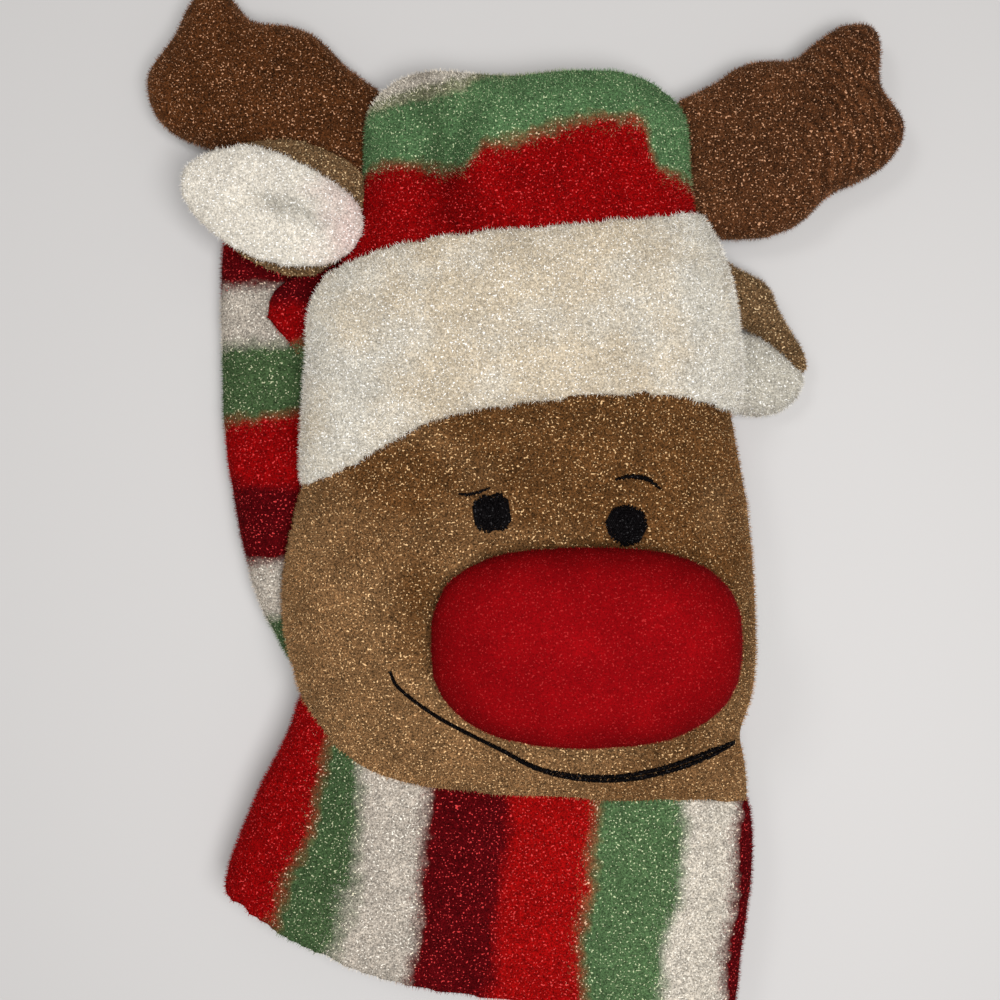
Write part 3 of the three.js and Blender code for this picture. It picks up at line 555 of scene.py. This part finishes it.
white = fleece(
    "off-white fleece", worn_white, (1.0, 0.99, 0.95), contrast=0.7, glints=0.35, sheen=(1.0, 0.97, 0.92)
)
band = cloth_copy("hat_band", "hat_band_fleece", mesh_size=1.5 * MM, rounds=6, swell=0.45 * MM)
spots = places_of(band)
band_normals = normals_of(band)
puff = 1.1 * MM * waves(spots, 15 * MM, 5) + 0.5 * MM * waves(spots, 6 * MM, 6)
spots += band_normals * (puff * np.clip(band_normals[:, 2] + 0.3, 0, 1))[:, None]
drawn_in = 2.0 * MM * eased(-spots[:, 0], 34 * MM, 12 * MM)
spots[:, 0] += drawn_in * eased(-spots[:, 1], -78 * MM, 26 * MM)
set_places(band, spots)
mark_inside(band, lambda places, normals: normals[:, 2] < -0.3)
band.data.materials.append(white)
finished(band, "white_fleece", "hat_band")
band_pile = add_pile(band, "hat_band_pile", to_mm2=4.2, length=1.3 * MM, seed=31, lean=0.85)
finished(band_pile, "white_fleece")

# Palm
# Striped fleece: the underside, the side walls up to the side seams, and the fold that shows
# between the thumb and the hat. Its stripes run across the hand, in line with the thumb's.


def along_hand(tree, place):
    _, y, _ = in_millimetres(tree, place)
    return y


palm_fleece = striped_fleece(
    "palm striped fleece",
    striped(
        along_hand,
        (
            GREEN,
            [
                (-52.0, RED),
                (-35.0, GREEN),
                (-16.0, WHITE),
                (-0.3, MAROON),
                (19.0, RED),
                (39.5, GREEN),
                (56.0, RED),
                (68.0, MAROON),
                (86.0, WHITE),
                (101.0, GREEN),
                (118.0, WHITE),
            ],
        ),
        waver=3.0,
    ),
)
palm = cloth_copy("palm", "palm_fleece", mesh_size=1.9 * MM, rounds=7, swell=0.45 * MM)
# The fold beside the thumb is rounder than the rest.
bpy.ops.object.mode_set(mode="EDIT")
bpy.ops.mesh.select_all(action="DESELECT")
bpy.ops.object.mode_set(mode="OBJECT")
for corner in palm.data.vertices:
    corner.select = corner.co.x < -44 * MM and 50 * MM < corner.co.y < 92 * MM
bpy.ops.object.mode_set(mode="EDIT")
bpy.ops.mesh.vertices_smooth(factor=0.5, repeat=24)
bpy.ops.object.mode_set(mode="OBJECT")
spots = places_of(palm)
sway = eased(spots[:, 2], 3 * MM, 8 * MM)
spots[:, 0] += 0.6 * MM * waves(spots, 14 * MM, 7) * sway
spots[:, 2] += 0.4 * MM * waves(spots, 9 * MM, 8) * sway
fold = dent(spots, -54, 65, 10, 17)
spots[:, :2] -= np.outer(fold, (2.9 * MM, 1.2 * MM))
tucked_side(spots)
gather_tip(spots, extra=0.8)
set_places(palm, spots)
MIDDLE_HEIGHT = 14 * MM


def faces_hollow(places, normals):
    """True where a skin looks towards the hand's own middle line."""
    inwards = places[:, 0] * normals[:, 0] + (places[:, 2] - MIDDLE_HEIGHT) * normals[:, 2]
    return inwards < 0


mark_inside(palm, faces_hollow)
palm.data.materials.append(palm_fleece)
finished(palm, "striped_fleece", "palm")
palm_pile = add_pile(palm, "palm_pile", to_mm2=2.6, length=1.1 * MM, seed=41, reach=8 * MM)
finished(palm_pile, "striped_fleece")

# Thumb
# A striped fleece tube beside the hand, closed at its tip, which runs up beside the hat's fold.
thumb_fleece = striped_fleece(
    "thumb striped fleece",
    striped(
        along_hand,
        (
            RED,
            [
                # The darker greens on the thumb are painted shade.
                (-35.0, PAINTED_SHADE_GREEN),
                (-16.0, WHITE),
                (-0.3, MAROON),
                (19.0, RED),
                (38.0, PAINTED_SHADE_GREEN),
                (57.0, WHITE),
                (72.5, MAROON),
                (84.0, RED),
            ],
        ),
        waver=3.0,
    ),
)
thumb = cloth_copy("thumb", "thumb_fleece", mesh_size=1.5 * MM)
spots = places_of(thumb)
sway = eased(spots[:, 2], 2 * MM, 6 * MM)
spots[:, 0] += 0.5 * MM * waves(spots, 12 * MM, 9) * sway
spots[:, 2] += 0.45 * MM * waves(spots, 8 * MM, 10) * sway
spots[:, 0] -= 0.8 * MM * eased(-spots[:, 0], 66 * MM, 6 * MM)
set_places(thumb, spots)
thumb.data.materials.append(thumb_fleece)
finished(thumb, "striped_fleece", "thumb")
mark_inside(thumb, lambda places, normals: places[:, 0] > -50 * MM)
thumb_pile = add_pile(thumb, "thumb_pile", to_mm2=2.9, length=1.1 * MM, seed=51, reach=12 * MM)
finished(thumb_pile, "striped_fleece")

# Wrist cuff
# A wide striped fleece tube, sewn on with a dipped seam and open at its slanting hem.
# Its stripes run down to the hem and spread with the flare at the thumb's side.


def cuff_run(tree, place):
    """The place across the cuff, followed down from the seam as the stripes spread."""
    x, y, _ = in_millimetres(tree, place)
    down = maths(tree, "ADD", y, 62.0)
    beyond = maths(tree, "MAXIMUM", maths(tree, "SUBTRACT", -40.0, x), 0.0)
    lean = maths(tree, "MULTIPLY_ADD", beyond, 0.0085, 0.11)
    return maths(tree, "SUBTRACT", x, maths(tree, "MULTIPLY", lean, down))


cuff_fleece = striped_fleece(
    "cuff striped fleece",
    striped(
        cuff_run,
        (
            RED,
            [
                # On the cuff, the darker green at the thumb's side is painted shade, and the lighter red
                # and white are painted light.
                (-55.5, PAINTED_SHADE_GREEN),
                (-43.4, WHITE),
                (-26.4, MAROON),
                (-4.2, PAINTED_LIGHT_RED),
                (19.8, GREEN),
                (41.0, PAINTED_LIGHT_WHITE),
                (56.3, MAROON),
            ],
        ),
        haze=2.2,
        waver=4.0,
    ),
)
cuff = cloth_copy("wrist_cuff", "wrist_cuff_fleece", mesh_size=1.6 * MM, rounds=9, swell=0.5 * MM)
spots = places_of(cuff)
sway = eased(spots[:, 2], 3 * MM, 8 * MM)
rise = 0.8 * MM * waves(spots, 18 * MM, 12) + 0.25 * MM * waves(spots, 7 * MM, 13)
spots[:, 2] += rise * sway
spots[:, 1] += 2.1 * MM * eased(spots[:, 1], -75 * MM, 15 * MM)
tucked_side(spots)
set_places(cuff, spots)
mark_inside(cuff, faces_hollow)
cuff.data.materials.append(cuff_fleece)
finished(cuff, "striped_fleece", "wrist_cuff")
cuff_pile = add_pile(cuff, "wrist_cuff_pile", to_mm2=2.9, length=1.15 * MM, seed=61, reach=8 * MM)
finished(cuff_pile, "striped_fleece")

# Nose
# A stuffed oval of bright red felt, gathered underneath and sewn to the face along its edge.
# The stuffing presses it out evenly, so it is modelled by cloth pressure from a smaller shape.
FELT_RED = (0.215, 0.0012, 0.0028, 1.0)
RUBBED_RED = (0.275, 0.0018, 0.0036, 1.0)
PAINTED_SHADE_RED = (0.13, 0.0006, 0.0016, 1.0)
PRESSURE = 4.0
LAST_STEP = 20
PILE_HEIGHT = 0.4 * MM


def stuffed(node, name, mesh_size, shrink, cap, pin_below=-0.6):
    """A stuffed piece: its smaller skin is blown up by pressure, no point further than the cap.

    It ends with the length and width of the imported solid.
    """
    piece = cloth_copy(node, name, mesh_size)
    places = places_of(piece) - normals_of(piece) * shrink
    set_places(piece, places)
    held = piece.vertex_groups.new(name="held")
    down = np.nonzero(normals_of(piece)[:, 2] < pin_below)[0]
    held.add([int(i) for i in down], 1.0, "REPLACE")
    cloth = piece.modifiers.new("stuffing", "CLOTH")
    cloth.settings.use_pressure = True
    cloth.settings.uniform_pressure_force = PRESSURE
    cloth.settings.effector_weights.gravity = 0.0
    cloth.settings.vertex_group_mass = "held"
    cloth.settings.quality = 6
    for step in range(1, LAST_STEP + 1):
        bpy.context.scene.frame_set(step)
    shown = piece.evaluated_get(bpy.context.evaluated_depsgraph_get())
    blown = places_of(shown)
    piece.modifiers.remove(cloth)
    bpy.context.scene.frame_set(1)
    shift = blown - places
    far = np.linalg.norm(shift, axis=1, keepdims=True)
    set_places(piece, places + shift * np.minimum(1.0, cap / np.maximum(far, 1e-9)))
    piece.vertex_groups.clear()
    places = places_of(piece)
    low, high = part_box(node)
    for axis in (0, 1):
        inner = (places[:, axis].min(), places[:, axis].max())
        outer = (low[axis] + PILE_HEIGHT, high[axis] - PILE_HEIGHT)
        places[:, axis] = np.interp(places[:, axis], inner, outer)
    set_places(piece, places)
    finer = piece.modifiers.new("finer", "SUBSURF")
    finer.levels = 1
    finer.render_levels = 1
    bpy.ops.object.modifier_apply(modifier=finer.name)
    bpy.ops.object.shade_smooth()
    return piece


def felt_colour(tree, place):
    """Bright red, paler where the felt is rubbed, with painted shade darkening it lower down towards the
    seam.
    """
    tint_share = spread(tree, cloud(tree, place, 70.0, 4.0), 0.4, 0.65, 0.0, 1.0)
    red = mixed(tree, tint_share, FELT_RED, RUBBED_RED)
    _, _, z = in_millimetres(tree, place)
    # Painted shade: darker lower down the nose, towards the seam.
    painted_shade_share = spread(tree, z, 42.0, 55.5, 0.85, 0.0)
    return mixed(tree, painted_shade_share, red, PAINTED_SHADE_RED)


felt = fleece("red felt", felt_colour, (0.65, 0.05, 0.05), contrast=0.4, bump=0.25, glints=0.03, catch=0.3)
nose = stuffed("nose", "nose_felt", mesh_size=2.0 * MM, shrink=0.8 * MM, cap=2.0 * MM)
spots = places_of(nose)
spots += normals_of(nose) * (0.25 * MM * waves(spots, 11 * MM, 14))[:, None]
# The outline is squarer than an oval, most of all at its upper corners.
middle = (spots.min(0) + spots.max(0)) / 2
reach = (spots.max(0) - spots.min(0)) / 2
around = np.arctan2((spots[:, 1] - middle[1]) / reach[1], (spots[:, 0] - middle[0]) / reach[0])
fuller = 1.016 + np.where(around > 0, 0.052, 0.014) * np.sin(2 * around) ** 2
spots[:, :2] = middle[:2] + (spots[:, :2] - middle[:2]) * fuller[:, None]
spots[:, 0] = middle[0] + (spots[:, 0] - middle[0]) * 1.018 - 0.3 * MM
set_places(nose, spots)
nose.data.materials.append(felt)
finished(nose, "red_felt", "nose")
nose_pile = add_pile(nose, "nose_pile", to_mm2=2.2, length=0.6 * MM, seed=71, thickness=0.07 * MM)
finished(nose_pile, "red_felt")

# Antlers
# Two stuffed shapes of dark brown fleece, each of two layers sewn round the edge, with their
# roots in the sides of the hat. They lie on the table and sink a little along the seam.
NEAR_BROWN = (0.120, 0.040, 0.012, 1.0)
FAR_BROWN = (0.126, 0.046, 0.017, 1.0)


def dark_nap(tree, place):
    """Dark brown, with the nap brushed into curved rows on the outer half of the far antler."""
    x, _, _ = in_millimetres(tree, place)
    from_root = vectors(tree, "SUBTRACT", place, (58 * MM, 104 * MM, 0.0))
    settings = {"wave_type": "RINGS", "rings_direction": "Z"}
    inputs = {"Vector": from_root, "Scale": 95.0, "Distortion": 7.5, "Detail": 3.0, "Detail Scale": 2.2}
    rows = add_node(tree, "ShaderNodeTexWave", settings, inputs).outputs["Fac"]
    brushed = spread(tree, x, 66.0, 82.0, 0.0, 0.75)
    far = spread(tree, x, 0.0, 1.0, 0.0, 1.0)
    dye = mixed(tree, far, NEAR_BROWN, FAR_BROWN)
    crest = spread(tree, rows, 0.15, 0.85, 0.0, 1.0)
    groove = mixed(tree, crest, (0.50, 0.48, 0.47, 1.0), (1.3, 1.3, 1.34, 1.0))
    return mixed(tree, brushed, dye, mixed(tree, 1.0, dye, groove, "MULTIPLY"))


dark_brown = fleece(
    "dark brown fleece", dark_nap, (0.85, 0.52, 0.32), contrast=1.5, glints=0.08, sheen=(0.8, 0.5, 0.3)
)
for side, seed in (("left", 15), ("right", 16)):
    node = f"antler_{side}"
    antler = stuffed(node, f"{node}_fleece", mesh_size=2.0 * MM, shrink=0.8 * MM, cap=2.2 * MM)
    spots = places_of(antler)
    lumps = 0.5 * MM * waves(spots, 12 * MM, seed) + 0.2 * MM * waves(spots, 5 * MM, seed + 3)
    spots += normals_of(antler) * lumps[:, None]
    spots[:, 2] = np.maximum(spots[:, 2], PILE_OFF_TABLE)
    set_places(antler, spots)
    antler.data.materials.append(dark_brown)
    finished(antler, "dark_brown_fleece", node)
    antler_pile = add_pile(antler, f"{node}_pile", to_mm2=3.3, length=1.1 * MM, seed=seed * 5)
    finished(antler_pile, "dark_brown_fleece")

# Ears
# Each ear has a white fleece front and a tan back that stands out a little round it.
# The thumb-side ear lies open over the antler; the other is folded lengthwise under the band.
EAR_WHITE = (0.69, 0.64, 0.555, 1.0)
PINK_TINT = (0.60, 0.40, 0.38, 1.0)
PAINTED_CREASE_SHADE = (0.34, 0.32, 0.27, 1.0)
tan = fleece(
    "tan fleece",
    plain(0.21, 0.12, 0.055),
    (1.0, 0.82, 0.50),
    contrast=1.4,
    glints=0.09,
    sheen=(0.9, 0.7, 0.4),
)


def ear_white_painted_crease(tree, place):
    """White, with painted shade in the crease, and pinkish towards the end next to the hat's red."""
    x, y, _ = in_millimetres(tree, place)
    near = maths(tree, "ADD", x, spread(tree, cloud(tree, place, 120.0, 3.0), 0.3, 0.7, -4.0, 4.0))
    tint_share = spread(tree, near, -56.0, -42.0, 0.0, 0.55)
    dye = mixed(tree, tint_share, EAR_WHITE, PINK_TINT)
    # Painted shade along the crease's line, only near the ear's middle.
    off = maths(tree, "MULTIPLY_ADD", maths(tree, "ADD", x, 62.0), 0.33, maths(tree, "SUBTRACT", y, 92.6))
    off = maths(tree, "ADD", off, spread(tree, cloud(tree, place, 110.0, 3.0), 0.3, 0.7, -2.4, 2.4))
    middle = spread(tree, maths(tree, "ABSOLUTE", maths(tree, "ADD", x, 61.0)), 5.0, 12.0, 1.0, 0.0)
    depth = maths(tree, "MULTIPLY", spread(tree, maths(tree, "ABSOLUTE", off), 0.2, 3.2, 0.6, 0.0), middle)
    return mixed(tree, depth, dye, PAINTED_CREASE_SHADE)


ear_white = fleece(
    "ear white fleece", ear_white_painted_crease, (1.0, 1.0, 0.97), contrast=0.65, glints=0.35, sheen=(1.0, 0.98, 0.95)
)
# The folded ear's white is a darker copy of the ear white: painted shade.
shaded_white = fleece(
    "folded ear fleece",
    plain(0.53, 0.495, 0.42),
    (1.0, 0.98, 0.92),
    contrast=0.75,
    glints=0.3,
    sheen=(1.0, 0.98, 0.95),
)
ear_finish = {
    "ear_left_back": (tan, "tan_fleece"),
    "ear_left_front": (ear_white, "white_fleece"),
    "ear_right_back": (tan, "tan_fleece"),
    "ear_right_front": (shaded_white, "white_fleece"),
}
for number, (node, (material, slot)) in enumerate(ear_finish.items()):
    ear = stuffed(node, f"{node}_fleece", mesh_size=1.5 * MM, shrink=0.5 * MM, cap=1.2 * MM)
    spots = places_of(ear)
    spots += normals_of(ear) * (0.3 * MM * waves(spots, 8 * MM, 30 + number))[:, None]
    rim = 1 - np.abs(normals_of(ear)[:, 2])
    spots[:, 2] += rim * (0.5 * MM if node.endswith("back") else -1.0 * MM)
    if node == "ear_right_back":
        outer_edge = dent(spots, 62, 70, 6, 12, -0.6)
        spots[:, :2] += np.outer(outer_edge, (2.6 * MM, 1.6 * MM))
    if node == "ear_left_front":
        spots[:, :2] -= (1.2 * MM, 0.8 * MM)
        tucked = dent(spots, -50, 104, 17, 7, -0.55)
        spots[:, :2] -= np.outer(tucked, (1.7 * MM, 2.6 * MM))
        creases = 1.7 * MM * dent(spots, -65.5, 94.0, 8, 1.8, -0.2)
        creases += 1.0 * MM * dent(spots, -74, 93, 4, 1.4, 0.4)
        spots[:, 2] -= creases * np.clip(normals_of(ear)[:, 2], 0, 1)
    spots[:, 2] = np.maximum(spots[:, 2], PILE_OFF_TABLE)
    set_places(ear, spots)
    ear.data.materials.append(material)
    finished(ear, slot, node)
    ear_pile = add_pile(ear, f"{node}_pile", to_mm2=4.0, length=1.1 * MM, seed=200 + number * 9, lean=0.8)
    finished(ear_pile, slot)

# Eyes
# Black embroidery in satin stitch, each thread laid close beside the last over a little padding.
# Some short threads cross the rest on top and hold them down.
BLACK = (0.0012, 0.001, 0.0012, 1.0)
LIT_STRAND_BLACK = (0.0045, 0.0035, 0.004, 1.0)
PAINTED_THREAD_GLINT = (0.12, 0.115, 0.12, 1.0)
STRANDS = 1800.0
THREAD_RADIUS = 0.26 * MM
thread_black = bpy.data.materials.new("black thread")
thread_black.use_nodes = True
tree = thread_black.node_tree
surface = tree.nodes["Principled BSDF"]
place = add_node(tree, "ShaderNodeTexCoord").outputs["Object"]
strand = cloud(tree, place, STRANDS, 2.0)
# Painted light: the raised strands are a little lighter than the black, and a few points get painted
# glints.
lit_strands = spread(tree, strand, 0.35, 0.65, 0.0, 1.0)
dye = mixed(tree, lit_strands, BLACK, LIT_STRAND_BLACK)
painted_glints = spread(tree, cloud(tree, place, TIPS, 0.0), 0.70, 0.78, 0.0, 0.28)
dye = mixed(tree, painted_glints, dye, PAINTED_THREAD_GLINT)
tree.links.new(dye, surface.inputs["Base Color"])
twist = add_node(tree, "ShaderNodeBump", None, {"Strength": 0.4, "Distance": 0.2 * MM, "Height": strand})
tree.links.new(twist.outputs[0], surface.inputs["Normal"])
surface.inputs["Roughness"].default_value = 0.5
surface.inputs["Specular IOR Level"].default_value = 0.02


def face_top(x, y, beside=36 * MM):
    """Height of the face over a place in metres, or of its edge where the place is beside it."""
    hit, spot, _, _ = face.ray_cast(Vector((x, y, 200 * MM)), Vector((0, 0, -1)))
    return spot.z if hit else beside


def sewn(name, threads, radius):
    """Threads, each a list of points, as one closed mesh."""
    data = bpy.data.curves.new(name, "CURVE")
    data.dimensions = "3D"
    data.bevel_depth = radius
    data.bevel_resolution = 1
    data.use_fill_caps = True
    for points in threads:
        spline = data.splines.new("POLY")
        spline.points.add(len(points) - 1)
        for point, (x, y, z) in zip(spline.points, points):
            point.co = (x, y, z, 1.0)
    piece = bpy.data.objects.new(name, data)
    bpy.context.scene.collection.objects.link(piece)
    pick(piece)
    bpy.ops.object.convert(target="MESH")
    piece = bpy.context.object
    bpy.ops.object.shade_smooth()
    piece.data.materials.append(thread_black)
    return piece


bpy.context.view_layer.update()
rng = np.random.default_rng(7)
# Each eye's slant in radians, how square it is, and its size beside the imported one.
eyes = {"eye_left": (0.15, 3.0, 0.98), "eye_right": (-0.5, 2.3, 1.07)}
CROSS_THREADS = 46
HALF_STITCH = 0.75 * MM
for node, (slant, squareness, size) in eyes.items():
    low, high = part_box(node)
    middle = (low + high) / 2
    reach = (high.x - low.x) / 2 * size
    rows = []
    for row in np.arange(-0.95, 0.96, 0.085):
        half = (1 - abs(row) ** squareness) ** (1 / squareness)
        half *= 1 + rng.uniform(-0.13, 0.08)
        points = []
        for share in np.linspace(-1, 1, 7):
            u, v = row * reach, share * half * reach
            x = middle.x + u * math.cos(slant) - v * math.sin(slant)
            y = middle.y + u * math.sin(slant) + v * math.cos(slant)
            dome = (1 - min(1.0, abs(share)) ** 2.5) * (1 - abs(row) ** 3 * 0.6)
            points.append((x, y, face_top(x, y) + (0.05 + 1.15 * dome) * MM))
        rows.append(points)
    for _ in range(CROSS_THREADS):
        from_middle = rng.uniform(0, 0.72) * reach
        around = rng.uniform(0, 2 * math.pi)
        heading = slant + rng.choice([0.55, 1.1, 2.0]) + rng.uniform(-0.2, 0.2)
        x0 = middle.x + from_middle * math.cos(around)
        y0 = middle.y + from_middle * math.sin(around)
        points = []
        for share in np.linspace(-1, 1, 5):
            x = x0 + share * HALF_STITCH * math.cos(heading)
            y = y0 + share * HALF_STITCH * math.sin(heading)
            points.append((x, y, face_top(x, y) + (1.15 + 0.5 * (1 - share**2)) * MM))
        rows.append(points)
    eye = sewn(f"{node}_stitches", rows, THREAD_RADIUS)
    finished(eye, "black_thread", node)

# Smile and brows
# The smile is one long row of satin stitch, narrow at the thumb's side and wider under the nose.
# The brows are two short rows of plain stitches. Points, pitch and widths are in millimetres.
PITCH = 0.42
smile_points = [
    (-33.4, -27.0),
    (-30.8, -31.5),
    (-20.7, -39.0),
    (-5.5, -47.0),
    (5.7, -52.7),
    (19.8, -55.0),
    (34.9, -53.3),
    (56.1, -46.8),
]
width_shares = [0, 0.05, 0.38, 0.5, 0.6, 0.8, 0.93, 1.0]
smile_widths = [0.6, 0.7, 0.9, 1.5, 2.1, 2.8, 2.3, 1.0]


def along_curve(points):
    """Even steps on a smooth line through points in millimetres: place, heading and share of the way."""
    knots = [Vector((*p, 0.0)) for p in points]
    knots = [2 * knots[0] - knots[1], *knots, 2 * knots[-1] - knots[-2]]
    line = []
    for a, b, c, d in zip(knots, knots[1:], knots[2:], knots[3:]):
        for t in np.linspace(0, 1, 24, endpoint=False):
            bend = (2 * a - 5 * b + 4 * c - d) * t**2 + (3 * b - a - 3 * c + d) * t**3
            line.append(0.5 * (2 * b + (c - a) * t + bend))
    line.append(knots[-2])
    runs = np.concatenate([[0.0], np.cumsum([(q - p).length for p, q in zip(line, line[1:])])])
    steps = np.arange(0, runs[-1], PITCH)
    xs = np.interp(steps, runs, [p.x for p in line])
    ys = np.interp(steps, runs, [p.y for p in line])
    places = np.stack([xs, ys], axis=1)
    headings = np.gradient(places, axis=0)
    headings /= np.linalg.norm(headings, axis=1, keepdims=True)
    return zip(places, headings, steps / runs[-1])


stitches = []
for (x, y), (dx, dy), share in along_curve(smile_points):
    width = np.interp(share, width_shares, smile_widths)
    width *= 1 + rng.uniform(-0.16, 0.14)
    side = Vector((-dy, dx)) * 0.92 + Vector((dx, dy)) * 0.38
    rows = ((-0.5, 0.5),) if share < 0.5 else ((-0.5, -0.08), (0.08, 0.5))
    for start, end in rows:
        points = []
        for step in np.linspace(0, 1, 5):
            across = start + (end - start) * step
            px = (x + side.x * width * across) * MM
            py = (y + side.y * width * across) * MM
            arch = 1 - (2 * abs(step - 0.5)) ** 2.5
            points.append((px, py, face_top(px, py) + (0.1 + 0.7 * arch) * MM))
        stitches.append(points)
smile = sewn("smile_stitches", stitches, 0.22 * MM)
finished(smile, "black_thread", "mouth")

# Each brow's points, its widest stitch and how far it stands up, in millimetres.
brow_lines = {
    "brow_left": ([(-15.9, 18.2), (-13.4, 18.0), (-10.8, 18.6), (-8.2, 19.7)], 1.3, 0.35),
    "brow_right": ([(23.9, 21.9), (27.6, 22.6), (31.8, 21.9), (35.3, 19.4)], 2.0, 1.15),
}
for name, (points, widest, lift) in brow_lines.items():
    stitches = []
    for (x, y), (dx, dy), share in along_curve(points):
        full = 0.25 + 0.75 * math.sin(math.pi * min(1.0, 0.08 + share * 0.9))
        width = widest * full * rng.uniform(0.25, 1.25)
        side = Vector((-dy, dx)) * 0.6 + Vector((dx, dy)) * 0.8
        thread = []
        for across in (-0.5, -0.25, 0.0, 0.25, 0.5):
            px = (x + side.x * width * across) * MM
            py = (y + side.y * width * across) * MM
            arch = 1 - (2 * abs(across)) ** 2
            thread.append((px, py, face_top(px, py) + (0.05 + lift * arch) * MM))
        stitches.append(thread)
    brow = sewn(f"{name}_stitches", stitches, 0.2 * MM)
    finished(brow, "black_thread")

# Table, light and camera
# A pale matt table, two soft lights from above and the photograph's view, straight down.
bpy.ops.object.select_all(action="DESELECT")
bpy.ops.mesh.primitive_plane_add(size=3.0, location=(0, 0, 0))
table = bpy.context.object
table.name = "table"
bpy.ops.object.transform_apply(location=True, rotation=True, scale=True)
pale = bpy.data.materials.new("pale table")
pale.use_nodes = True
matt = pale.node_tree.nodes["Principled BSDF"]
matt.inputs["Base Color"].default_value = (0.50, 0.488, 0.482, 1.0)
matt.inputs["Roughness"].default_value = 0.6
table.data.materials.append(pale)

sky = bpy.data.worlds.new("soft room")
sky.use_nodes = True
room = sky.node_tree.nodes["Background"]
room.inputs["Color"].default_value = (1.0, 0.98, 0.96, 1.0)
room.inputs["Strength"].default_value = 0.32
bpy.context.scene.world = sky
bpy.context.scene.view_settings.view_transform = "Standard"
# Each light's place and width in metres, and its power in watts.
lights = {"window": ((0.10, -0.075, 0.67), 0.34, 4.9), "lamp": ((-0.5, 0.4, 1.0), 0.3, 2.0)}
for name, (at, size, watts) in lights.items():
    glow = bpy.data.lights.new(name, "AREA")
    glow.size = size
    glow.energy = watts
    lamp = bpy.data.objects.new(name, glow)
    lamp.location = at
    lamp.rotation_euler = (-Vector(at)).to_track_quat("-Z", "Y").to_euler()
    bpy.context.scene.collection.objects.link(lamp)

# The view is 277 mm wide at the table, as the photograph is at this part's scale.
view = bpy.data.cameras.new("camera")
view.lens = 54.576
view.sensor_width = 36.0
view.clip_start = 0.01
camera = bpy.data.objects.new("camera", view)
camera.location = (-0.00554, 0.01662, 0.420)
bpy.context.scene.collection.objects.link(camera)
bpy.context.scene.camera = camera

bpy.context.view_layer.update()
